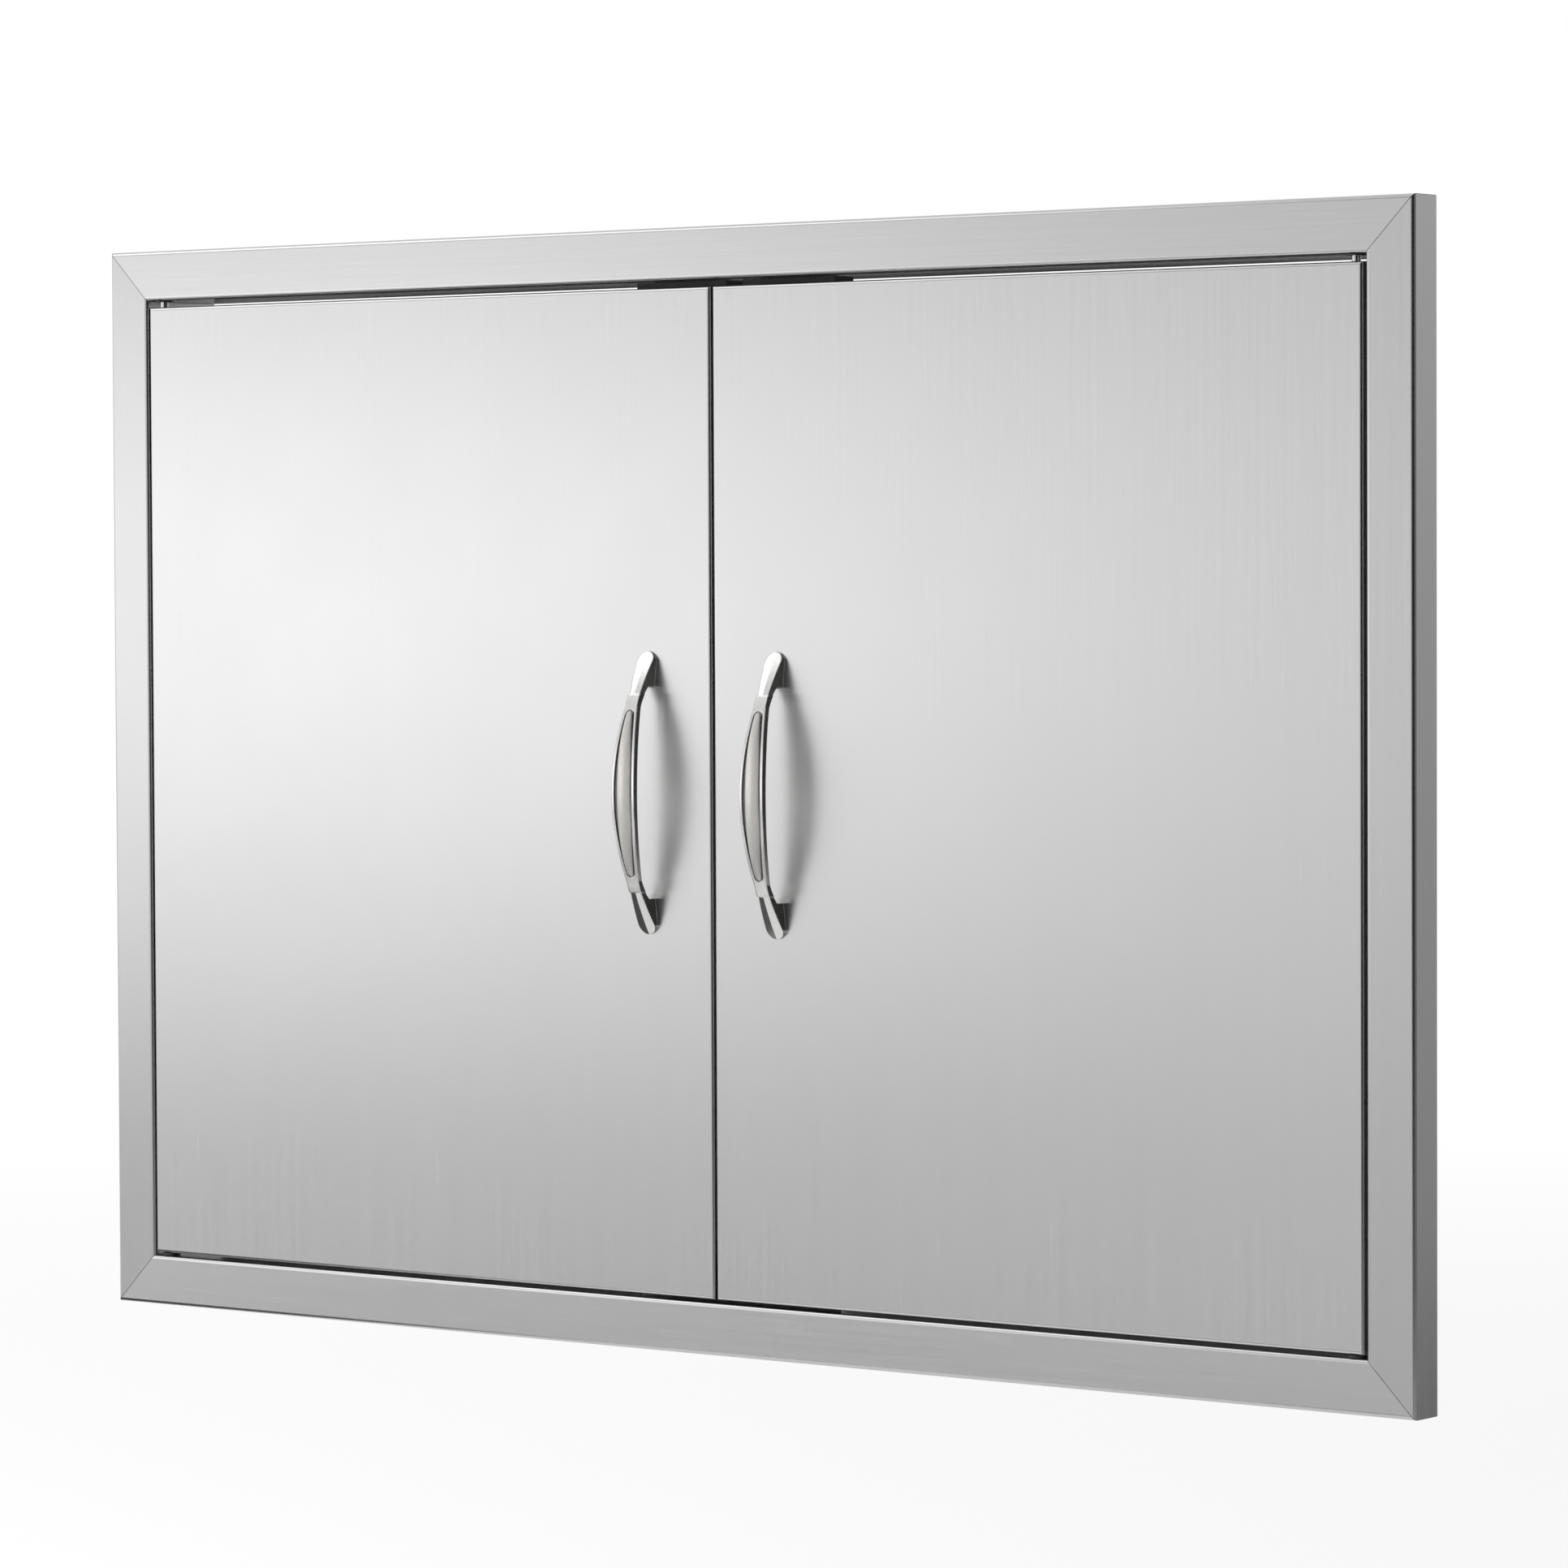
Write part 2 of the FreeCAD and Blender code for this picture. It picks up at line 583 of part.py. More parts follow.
def make_catch():
    """Makes the left magnetic catch: body, magnet and pole plates."""
    low_x = "-(catch_line + catch_width / 2)"
    high_x = "-(catch_line - catch_width / 2)"
    back = f"{CATCH_FRONT} + catch_depth"
    core = block(
        "catch_core", (low_x, high_x), (CATCH_FRONT, back), (f"{CATCH_TOP} - catch_height", CATCH_TOP)
    )
    ears = block(
        "catch_ears",
        (f"{low_x} - catch_ear", f"{high_x} + catch_ear"),
        (CATCH_FRONT, back),
        (f"{CATCH_TOP} - catch_ear_sheet", CATCH_TOP),
    )
    middle_z = f"{CATCH_TOP} - catch_ear_sheet - (catch_height - catch_ear_sheet) / 2"
    cavity = block(
        "catch_cavity",
        (f"{low_x} + catch_wall", f"{high_x} - catch_wall"),
        (f"{CATCH_FRONT} - {PAST}", f"{back} - catch_wall"),
        (f"{middle_z} - {CATCH_CAVITY} / 2", f"{middle_z} + {CATCH_CAVITY} / 2"),
    )
    body = cut("catch_body", joined("catch_blank", [core, ears]), cavity)
    for index, side in enumerate((-1, 1)):
        hole = rod(
            f"catch_hole_{index}",
            "catch_screw_r + catch_screw_play",
            "z",
            (f"-catch_line + {side} * (catch_width + catch_ear) / 2", CATCH_MIDDLE, "0"),
            f"{CATCH_TOP} + {PAST}",
        )
        body = cut(f"catch_body_{index}", body, hole)
    keep(body, "left_catch_body")

    inner_x = (f"{low_x} + catch_wall + magnet_play", f"{high_x} - catch_wall - magnet_play")
    inner_back = f"{back} - catch_wall - magnet_play"
    magnet_low = f"{middle_z} - magnet_thick / 2"
    magnet_high = f"{middle_z} + magnet_thick / 2"
    magnet_y = (f"{CATCH_FRONT} + magnet_set", inner_back)
    magnet = block("left_magnet", inner_x, magnet_y, (magnet_low, magnet_high))
    keep(magnet, "left_catch_magnet")
    pole_y = (CATCH_FACE, inner_back)
    plates = [
        block("pole_low", inner_x, pole_y, (f"{magnet_low} - pole_sheet", magnet_low)),
        block("pole_high", inner_x, pole_y, (magnet_high, f"{magnet_high} + pole_sheet")),
    ]
    keep(group("left_poles", plates), "left_catch_pole_plates")
    for piece in ("catch_body", "catch_magnet", "catch_pole_plates"):
        mirrored(parts[f"left_{piece}"], f"right_{piece}")

    screws = []
    for side in (-1, 1):
        for ear in (-1, 1):
            spot = f"{side} * catch_line + {ear} * (catch_width + catch_ear) / 2"
            tip = (spot, CATCH_MIDDLE, f"{CATCH_TOP} - catch_ear_sheet + catch_bite")
            name = f"catch_screw_{len(screws)}"
            screws.append(
                make_screw(name, "catch_screw_r", "catch_head_r", "catch_head", "z", tip, "catch_bite")
            )
    keep(group("catch_screw_set", screws), "catch_screws")


def make_stop():
    """Makes the bracket behind the doors' lower edge, its rubber bumpers and rivets."""
    floor = f"-{OPEN_Z}"
    body = new_body("stop_bracket_body")
    section = new_sketch(body, "stop_section", "YZ_Plane")
    corners = [
        (STOP_FRONT, floor),
        (f"{STOP_FRONT} + stop_foot", floor),
        (f"{STOP_FRONT} + stop_foot", f"{floor} + stop_sheet"),
        (f"{STOP_FRONT} + stop_sheet", f"{floor} + stop_sheet"),
        (f"{STOP_FRONT} + stop_sheet", f"{floor} + stop_height"),
        (STOP_FRONT, f"{floor} + stop_height"),
    ]
    add_loop(section, corners)
    pad(body, section, "stop_width")
    bends = [
        ("bend_inside + stop_sheet", (number(STOP_FRONT), number(floor))),
        ("bend_inside", tuple(number(text) for text in corners[3])),
    ]
    for radius, spot in bends:
        fillet_edges(body, radius, runs_at("x", [spot]))
    bumper_z = f"{floor} + bumper_rise"
    holes = new_sketch(body, "stop_bumper_holes", "XZ_Plane")
    for side in (-1, 1):
        add_circle(holes, f"{side} * bumper_line", bumper_z, "bumper_stem_r + bumper_play")
    pocket_through(body, holes)
    feet = new_sketch(body, "stop_rivet_holes", "XY_Plane")
    for side in (-1, 1):
        add_circle(feet, f"{side} * stop_rivet_spacing / 2", STOP_RIVET_Y, "rivet_r + rivet_play")
    pocket_through(body, feet)
    keep(body, "stop_bracket")

    bumpers = []
    rivets = []
    behind = f"{STOP_FRONT} + stop_sheet"
    start_z = f"{floor} - frame_sheet - rivet_head"
    high_z = f"{floor} + stop_sheet"
    grip = "frame_sheet + stop_sheet + 2 * rivet_head"
    for index, side in enumerate((-1, 1)):
        x = f"{side} * bumper_line"
        front = (x, f"{STOP_FRONT} - bumper_thick", bumper_z)
        disc = rod(f"bumper_disc_{index}", "bumper_r", "y", front, "bumper_thick")
        stem = rod(f"bumper_stem_{index}", "bumper_stem_r", "y", (x, STOP_FRONT, bumper_z), "stop_sheet")
        barb = rod(f"bumper_barb_{index}", "bumper_barb_r", "y", (x, behind, bumper_z), "bumper_barb")
        bumpers.append(joined(f"bumper_{index}", [disc, stem, barb]))
        spot = (f"{side} * stop_rivet_spacing / 2", STOP_RIVET_Y)
        shank = rod(f"stop_rivet_shank_{index}", "rivet_r", "z", (*spot, start_z), grip)
        low = rod(f"stop_rivet_low_{index}", "rivet_head_r", "z", (*spot, start_z), "rivet_head")
        high = rod(f"stop_rivet_high_{index}", "rivet_head_r", "z", (*spot, high_z), "rivet_head")
        rivets.append(joined(f"stop_rivet_{index}", [shank, low, high]))
    keep(group("bumper_pair", bumpers), "stop_bumpers")
    keep(group("stop_rivet_pair", rivets), "stop_bracket_rivets")


def make_skin():
    """Makes the left door's skin: face, returns all round and lips at the back."""
    body = new_body("left_door_skin_body")
    face = new_sketch(body, "skin_face", "XZ_Plane")
    low_x, high_x = f"-{DOOR_X}", f"-{DOOR_INNER}"
    add_loop(face, rectangle(low_x, high_x, f"-{DOOR_Z}", DOOR_Z))
    feature = pad(body, face, "door_depth", both_ways=False)
    feature.Reversed = True
    corners = [(number(x), 0.0) for x in (low_x, high_x)]
    tops = [(0.0, number(z)) for z in (f"-{DOOR_Z}", DOOR_Z)]
    doc.recompute()
    outer = "door_bend + door_sheet"
    across = runs_at("z", corners)
    along = runs_at("x", tops)
    fillet_edges(body, outer, lambda edge: across(edge) or along(edge))

    def hollow(name, inset, start, length):
        sketch = new_sketch(body, name, "XZ_Plane")
        bind(sketch, AttachmentOffset__Base__z=f"-({start})")
        tall = f"({DOOR_Z} - {inset})"
        add_loop(sketch, rectangle(f"{low_x} + {inset}", f"{high_x} - {inset}", f"-{tall}", tall))
        pocket = body.newObject("PartDesign::Pocket", name + "_cut")
        pocket.Profile = sketch
        before = body.Shape.Volume
        bind(pocket, Length=length)
        sketch.Visibility = False
        doc.recompute()
        if pocket.Shape.Volume >= before:
            raise RuntimeError(f"{name} cuts nothing")

    hollow("skin_inside", "door_sheet", "door_sheet", "door_depth - 2 * door_sheet")
    inner_spots = [(number(f"{low_x} + door_sheet"), number("door_sheet"))]
    inner_spots.append((number(f"{high_x} - door_sheet"), number("door_sheet")))
    inner_tops = [(number("door_sheet"), number(f"{s} * ({DOOR_Z} - door_sheet)")) for s in (-1, 1)]
    inside_z = runs_at("z", inner_spots)
    inside_x = runs_at("x", inner_tops)
    fillet_edges(body, "door_bend", lambda edge: inside_z(edge) or inside_x(edge))
    hollow("skin_lips", "door_lip", "door_sheet", "door_depth")

    pulls = new_sketch(body, "skin_pull_holes", "XZ_Plane")
    for side in (-1, 1):
        spot = f"{side} * pull_bolt_pitch / 2 - pull_drop + door_drop"
        add_circle(pulls, "-pull_line", spot, "pull_screw_r + pull_thread_play")
    pocket_through(body, pulls)
    pivots = new_sketch(body, "skin_pivot_holes", "XY_Plane")
    add_circle(pivots, f"-{HINGE_X}", "hinge_setback", PIN_HOLE_R)
    pocket_through(body, pivots)
    place(body, y=FRONT, z="-door_drop")
    return body


STRIKE_Z = f"({DOOR_TOP} - door_lip / 2)"


def make_door():
    """Makes the left door's pieces that are fixed to its skin."""
    skin = make_skin()
    lip_holes = []
    strike_holes = []
    rivets = []
    strike_back = f"{PAN_BACK} + strike_sheet"
    for index, side in enumerate((-1, 1)):
        x = f"-catch_line + {side} * rivet_pitch / 2"
        start = (x, f"{PAN_BACK} - door_sheet - rivet_head", STRIKE_Z)
        through = "door_sheet + strike_sheet + 2 * rivet_head"
        lip_holes.append(rod(f"lip_hole_{index}", "rivet_r + rivet_play", "y", start, through))
        shank = rod(f"strike_rivet_shank_{index}", "rivet_r", "y", start, f"{through} - rivet_head")
        front = rod(f"strike_rivet_front_{index}", "rivet_head_r", "y", start, "rivet_head")
        rivets.append(joined(f"strike_rivet_{index}", [shank, front]))
    keep(cut("left_skin_drilled", skin, joined("lip_hole_pair", lip_holes)), "left_door_skin")
    plate = block(
        "strike_plate_blank",
        ("-(catch_line + strike_width / 2)", "-(catch_line - strike_width / 2)"),
        (PAN_BACK, strike_back),
        (f"{STRIKE_Z} - strike_height / 2", f"{STRIKE_Z} + strike_height / 2"),
    )
    for index, side in enumerate((-1, 1)):
        x = f"-catch_line + {side} * rivet_pitch / 2"
        seat = (x, PAN_BACK, STRIKE_Z)
        strike_holes.append(rod(f"strike_hole_{index}", "rivet_r + rivet_play", "y", seat, "strike_sheet"))
    keep(cut("strike_plate", plate, joined("strike_hole_pair", strike_holes)), "left_strike_plate")
    keep(group("strike_rivet_pair", rivets), "left_strike_rivets")

    body = new_body("stiffener_body")
    section = new_sketch(body, "stiffener_section", "XY_Plane")
    middle = f"-({DOOR_X} + {DOOR_INNER}) / 2"
    deep = f"{SKIN_BACK} + stiffener_depth"
    edge = "stiffener_sheet"
    foot_y = f"{SKIN_BACK} + {edge}"
    right = [
        ("stiffener_width / 2", SKIN_BACK),
        ("stiffener_width / 2", foot_y),
        ("stiffener_crown / 2", foot_y),
        ("stiffener_crown / 2", deep),
    ]
    inner = [
        (f"stiffener_crown / 2 - {edge}", f"{deep} - {edge}"),
        (f"stiffener_crown / 2 - {edge}", SKIN_BACK),
    ]
    loop = [(f"{middle} + {x}", y) for x, y in right]
    loop += [(f"{middle} - ({x})", y) for x, y in reversed(right)]
    loop += [(f"{middle} - ({x})", y) for x, y in reversed(inner)]
    loop += [(f"{middle} + ({x})", y) for x, y in inner]
    add_loop(section, loop)
    pad(body, section, f"2 * ({DOOR_Z} - door_sheet - stiffener_end)")
    for radius, bends in (
        ("bend_inside + stiffener_sheet", (right[3], inner[1])),
        ("bend_inside", (right[2], inner[0])),
    ):
        spots = [(number(f"{middle} + {sign} * ({x})"), number(y)) for x, y in bends for sign in (-1, 1)]
        fillet_edges(body, radius, runs_at("z", spots))
    place(body, z="-door_drop")
    keep(body, "left_door_stiffener")

    backing = block(
        "backing_blank",
        ("-(pull_line + backing_width / 2)", "-(pull_line - backing_width / 2)"),
        (SKIN_BACK, f"{SKIN_BACK} + backing_sheet"),
        ("-backing_height / 2 - pull_drop", "backing_height / 2 - pull_drop"),
    )
    holes = []
    washers = []
    screws = []
    for index, side in enumerate((-1, 1)):
        z = f"{side} * pull_bolt_pitch / 2 - pull_drop"
        hole_at = ("-pull_line", SKIN_BACK, z)
        seat = ("-pull_line", f"{SKIN_BACK} + backing_sheet", z)
        hole_r = "pull_screw_r + pull_thread_play"
        holes.append(rod(f"backing_hole_{index}", hole_r, "y", hole_at, "backing_sheet"))
        disc = rod(f"washer_disc_{index}", "pull_washer_r", "y", seat, "pull_washer")
        bore = rod(f"washer_bore_{index}", hole_r, "y", seat, "pull_washer")
        washers.append(cut(f"washer_{index}", disc, bore))
        tip = ("-pull_line", f"{FRONT} - pull_screw_bite", z)
        grip = "(pull_screw_bite + door_sheet + backing_sheet + pull_washer)"
        name = f"pull_screw_{index}"
        screws.append(make_screw(name, "pull_screw_r", "pull_head_r", "pull_head", "y", tip, grip))
    keep(cut("backing", backing, joined("backing_holes", holes)), "left_pull_backing_plate")
    keep(group("washer_pair", washers), "left_pull_washers")
    keep(group("pull_screw_pair", screws), "left_pull_screws")


def foot_ridges():
    """Makes the cutters that give the front of the feet a shallow ridge each."""
    middle = "((neck_end + pull_length / 2) / 2)"
    slope = "(2 * ridge_fall / pull_foot)"
    rise = f"({PULL_ARC} ^ 2 - {middle} ^ 2)"
    tilted = doc.addObject("Part::Cylinder", "ridge_arc")
    across = Vector(number("pull_foot / 2"), number("ridge_fall"), 0)
    tilted.Placement.Rotation = FreeCAD.Rotation(Vector(0, 0, 1), across)
    bind(tilted, Radius=f"sqrt({middle} ^ 2 + {rise} * (1 + {slope} ^ 2))", Height="4 * pull_foot")
    place(
        tilted,
        "-pull_line - 2 * pull_foot",
        f"{FRONT} + {PULL_CENTRE} + foot_step + sqrt({rise}) * {slope} ^ 2 - 2 * pull_foot * {slope}",
        "-pull_drop",
    )
    ends = []
    for name, low, high in (
        ("upper_foot", "neck_end", f"pull_length / 2 + {PAST}"),
        ("lower_foot", f"-pull_length / 2 - {PAST}", "-neck_end"),
    ):
        around = ("-pull_line - pull_foot", "-pull_line + pull_foot")
        ends.append(
            block(
                name,
                around,
                (f"{FRONT} - pull_reach - {PAST}", FRONT),
                (f"{low} - pull_drop", f"{high} - pull_drop"),
            )
        )
    right = cut("ridge_right", group("feet", ends), tilted)
    left = doc.addObject("Part::Mirroring", "ridge_left")
    left.Source = right
    left.Normal = Vector(1, 0, 0)
    bind(left, Base__x="-pull_line")
    return group("ridges", [right, left])


def make_pull():
    """Makes the left bow-shaped pull and its crowned grip insert."""
    body = new_body("pull_body")
    place(body, "-pull_line", FRONT, "-pull_drop")
    side_view = new_sketch(body, "pull_side", "YZ_Plane")
    inner_arc = f"({PULL_ARC} - pull_strap)"
    even_y = f"({PULL_CENTRE} - sqrt({inner_arc} ^ 2 - strap_half ^ 2))"
    root_y = f"({PULL_CENTRE} - sqrt({PULL_ARC} ^ 2 - foot_inner ^ 2) + strap_root)"
    along = "(foot_inner - strap_half)"
    down = f"({root_y} - {even_y})"
    reach = f"(sqrt({inner_arc} ^ 2 - strap_half ^ 2) * {down} - strap_half * {along})"
    flare = f"(({along} ^ 2 + {down} ^ 2) * {inner_arc} / (2 * {reach}))"
    profile = [
        ("-pull_tip", "pull_length / 2"),
        ("-pull_tip", "-pull_length / 2"),
        ("0", "-pull_length / 2"),
        ("0", "-foot_inner"),
        (root_y, "-foot_inner"),
        (even_y, "-strap_half"),
        (even_y, "strap_half"),
        (root_y, "foot_inner"),
        ("0", "foot_inner"),
        ("0", "pull_length / 2"),
    ]
    add_loop(side_view, profile, {0: (PULL_ARC, 1), 4: (flare, -1), 5: (inner_arc, -1), 6: (flare, -1)})
    pad(body, side_view, "pull_width")

    front_view = new_sketch(body, "pull_front", "XZ_Plane")
    add_loop(front_view, rectangle("-pull_width", "pull_width", "-pull_length", "pull_length"))
    bow = "((neck_start ^ 2 + ((pull_width - pull_neck) / 2) ^ 2) / (pull_width - pull_neck))"
    tip_z = "(pull_length / 2 - pull_foot / 2)"
    outline = [
        ("pull_neck / 2", "-neck_start"),
        ("pull_neck / 2", "neck_start"),
        ("pull_neck / 2", "neck_end"),
        ("foot_start / 2", "neck_end"),
        ("pull_foot / 2", tip_z),
        ("0", "pull_length / 2"),
        ("-pull_foot / 2", tip_z),
        ("-foot_start / 2", "neck_end"),
        ("-pull_neck / 2", "neck_end"),
        ("-pull_neck / 2", "neck_start"),
        ("-pull_neck / 2", "-neck_start"),
        ("-pull_neck / 2", "-neck_end"),
        ("-foot_start / 2", "-neck_end"),
        ("-pull_foot / 2", f"-{tip_z}"),
        ("0", "-pull_length / 2"),
        ("pull_foot / 2", f"-{tip_z}"),
        ("foot_start / 2", "-neck_end"),
        ("pull_neck / 2", "-neck_end"),
    ]
    curves = {0: (bow, 1), 9: (bow, 1)}
    for corner in (4, 5, 13, 14):
        curves[corner] = ("pull_foot / 2", 1)
    add_loop(front_view, outline, curves)
    pocket_through(body, front_view)
    holes = new_sketch(body, "pull_screw_holes", "XZ_Plane")
    for side in (-1, 1):
        add_circle(holes, "0", f"{side} * pull_bolt_pitch / 2", "pull_screw_r + pull_thread_play")
    drill = body.newObject("PartDesign::Pocket", "PullHoles")
    drill.Profile = holes
    drill.Reversed = True
    before = body.Shape.Volume
    bind(drill, Length="pull_screw_bite + pull_hole_spare")
    holes.Visibility = False
    doc.recompute()
    if drill.Shape.Volume >= before:
        raise RuntimeError("the pull's screw holes cut nothing")

    shaped = cut("pull_ridged", body, foot_ridges())
    crown_y = f"{FRONT} + {PULL_CENTRE}"
    centre = ("-pull_line - pull_width / 2", crown_y, "-pull_drop")
    floor = rod("recess_floor", f"{PULL_ARC} - recess_depth", "x", centre, "pull_width")

    def boat(name, shrink):
        """Makes a boat-shaped prism in front of the bow, smaller by shrink all round."""
        hull = new_body(name)
        place(hull, "-pull_line", FRONT, "-pull_drop")
        sketch = new_sketch(hull, f"{name}_outline", "XZ_Plane")
        half = f"(pull_width / 2 - rim_width - {shrink})"
        end = f"(recess_end - {shrink})"
        long = "(recess_half - recess_end)"
        rise = f"({half} - {end})"
        radius = f"(({long} ^ 2 + {rise} ^ 2) / (2 * {rise}))"
        loop = [
            (end, f"-{long}"),
            (end, long),
            ("0", f"{long} + {end}"),
            (f"-{end}", long),
            (f"-{end}", f"-{long}"),
            ("0", f"-{long} - {end}"),
        ]
        arcs = {0: (radius, 1), 3: (radius, 1)}
        for corner in (1, 2, 4, 5):
            arcs[corner] = (end, 1)
        add_loop(sketch, loop, arcs)
        pad(hull, sketch, f"2 * (pull_reach + insert_crown + {PAST})")
        return hull

    recess = cut("recess", boat("recess_boat", "0"), floor)
    keep(cut("pull_with_recess", shaped, recess), "left_pull")

    tube = doc.addObject("Part::Torus", "insert_round_bar")
    tube.Placement.Rotation = FreeCAD.Rotation(Vector(0, 1, 0), 90)
    bind(tube, Radius1=f"{PULL_ARC} + insert_crown - insert_round", Radius2="insert_round")
    place(tube, "-pull_line", crown_y, "-pull_drop")
    crowned = common("insert_crowned", boat("insert_boat", "insert_play"), tube)
    seat = rod("insert_seat", f"{PULL_ARC} - recess_depth + insert_bond", "x", centre, "pull_width")
    keep(cut("insert", crowned, seat), "left_pull_insert")


def make_pivots():
    """Makes the left door's brackets, pivot pins and washer."""
    edge = (f"-{DOOR_X} + door_sheet", f"-{DOOR_X} + door_sheet + bracket_length")
    front = f"{SKIN_BACK} + door_bend + bracket_play"
    depth = (front, f"{front} + bracket_width")
    floor = f"{DOOR_FOOT} + door_sheet"
    lower = block("lower_plate", edge, depth, (floor, f"{floor} + bracket_sheet"))
    hole_at = (f"-{HINGE_X}", HINGE_Y)
    hole = rod("lower_hole", PIN_HOLE_R, "z", (*hole_at, floor), "bracket_sheet")
    keep(cut("lower_bracket", lower, hole), "left_lower_pivot_bracket")

    roof = f"{DOOR_TOP} - door_sheet"
    tab = block("upper_tab", edge, depth, (f"{roof} - bracket_sheet", roof))
    web_x = (f"-{DOOR_X} + door_sheet + bracket_length - bracket_sheet", edge[1])
    web = block("upper_web", web_x, depth, (f"{roof} - bracket_drop", roof))
    shelf_z = (f"{roof} - bracket_drop", f"{roof} - bracket_drop + bracket_sheet")
    shelf = block("upper_shelf", edge, depth, shelf_z)
    blank = joined("upper_blank", [tab, web, shelf])
    hole = rod("upper_hole", PIN_HOLE_R, "z", (*hole_at, f"{roof} - bracket_drop"), "bracket_drop")
    keep(cut("upper_bracket", blank, hole), "left_upper_pivot_bracket")

    foot = f"-{OPEN_Z} - pin_reach"
    head_z = f"{floor} + bracket_sheet"
    shank = rod("lower_shank", "pivot_r", "z", (*hole_at, foot), f"({head_z}) - ({foot})")
    head = rod("lower_head", "pin_head_r", "z", (*hole_at, head_z), "pin_head")
    keep(joined("lower_pin", [shank, head]), "left_lower_pivot_pin")

    washer_z = f"-{OPEN_Z} + bush_flange"
    thick = "door_gap - door_drop - bush_flange - washer_play"
    disc = rod("thrust_disc", "bush_flange_r", "z", (*hole_at, washer_z), thick)
    bore = rod("thrust_bore", "pivot_r + pivot_play", "z", (*hole_at, washer_z), thick)
    keep(cut("thrust_washer", disc, bore), "left_thrust_washer")

    shelf_low = f"({roof} - bracket_drop)"
    bend_z = f"({shelf_low} - tail_clear)"
    top = f"({OPEN_Z} + pin_reach)"
    upright = rod("spring_pin_upright", "pivot_r", "z", (*hole_at, bend_z), f"{top} - {bend_z}")
    elbow = doc.addObject("Part::Torus", "spring_pin_elbow")
    upright_turn = FreeCAD.Rotation(Vector(1, 0, 0), 90)
    elbow.Placement.Rotation = FreeCAD.Rotation(Vector(0, 1, 0), 180) * upright_turn
    elbow.Angle3 = 90
    bind(elbow, Radius1="tail_bend", Radius2="pivot_r")
    place(elbow, f"-{HINGE_X} + tail_bend", HINGE_Y, bend_z)
    tail_at = (f"-{HINGE_X} + tail_bend", HINGE_Y, f"{bend_z} - tail_bend")
    tail = rod("spring_pin_tail", "pivot_r", "x", tail_at, "pin_tail")
    keep(joined("spring_pin", [upright, elbow, tail]), "left_spring_pin")

    clip_z = f"{roof} - bracket_sheet - clip_play - clip_sheet"
    clip_disc = rod("clip_disc", "clip_r", "z", (*hole_at, clip_z), "clip_sheet")
    clip_bore = rod("clip_bore", PIN_HOLE_R, "z", (*hole_at, clip_z), "clip_sheet")
    keep(cut("clip", clip_disc, clip_bore), "left_pin_clip")


def coil_path(radius, low, high, turns):
    """Gives a helix about +Z as smooth pairs of arcs, a half turn each."""
    steps = int(round(turns * 2))
    rise = (high - low) / (turns * 2 * math.pi)

    def point(angle):
        return Vector(radius * math.cos(angle), radius * math.sin(angle), low + rise * angle)

    def heading(angle):
        return Vector(-radius * math.sin(angle), radius * math.cos(angle), rise).normalize()

    edges = []
    for step in range(steps):
        start, end = point(step * math.pi), point((step + 1) * math.pi)
        out, into = heading(step * math.pi), heading((step + 1) * math.pi)
        span = end - start
        lean = span.dot(out + into)
        spare = 2 * (1 - out.dot(into))
        reach = (-lean + math.sqrt(lean ** 2 + spare * span.dot(span))) / spare
        knee = (start + end + (out - into) * reach) * 0.5
        edges += [arc_from(start, out, knee), arc_from(knee, None, end, into)]
    return Part.Wire(edges)


def arc_from(start, out, end, into=None):
    """Gives the arc between two points that leaves along out, or arrives along into."""
    heading = out if into is None else into
    near, far = (start, end) if into is None else (end, start)
    chord = far - near
    across = chord - heading * chord.dot(heading)
    radius = chord.dot(chord) / (2 * across.Length)
    centre = near + across.normalize() * radius
    middle = (start + end) * 0.5 - centre
    return Part.Arc(start, centre + middle.normalize() * radius, end).toShape()


def least_gap(path, turns):
    """Measures how close a coil's middle line comes to its other coils, on points of the line."""
    steps = 24
    points = []
    for edge in path.Edges:
        first, last = edge.ParameterRange
        points += [edge.valueAt(first + (last - first) * step / steps) for step in range(steps)]
    apart = int(len(points) / turns / 2)
    return min(
        here.distanceToPoint(there)
        for index, here in enumerate(points)
        for there in points[index + apart :]
    )


def make_spring():
    """Makes the coil that lifts the left sprung pin, one unbroken wire."""
    wire_r = number("spring_wire_r")
    radius = number("spring_r")
    turns = number("spring_turns")
    shelf = number(f"{DOOR_TOP} - door_sheet - bracket_drop + bracket_sheet")
    clip = number(f"{DOOR_TOP} - door_sheet - bracket_sheet - clip_play - clip_sheet")
    seat = number("spring_seat")
    low = shelf + wire_r + seat
    high = clip - wire_r - seat
    path = coil_path(radius, low, high, turns)
    start = path.Edges[0]
    section = Part.Circle(start.valueAt(start.FirstParameter), start.tangentAt(start.FirstParameter), wire_r)
    coil = path.makePipeShell([Part.Wire([section.toShape()])], True, False)
    gap = least_gap(path, turns) - 2 * wire_r
    print(f"pin spring: {turns:g} coils, least gap to itself {gap:.2f} mm")
    spring = doc.addObject("Part::Feature", "pin_spring")
    spring.Shape = coil
    place(spring, f"-{HINGE_X}", HINGE_Y)
    keep(spring, "left_pin_spring")


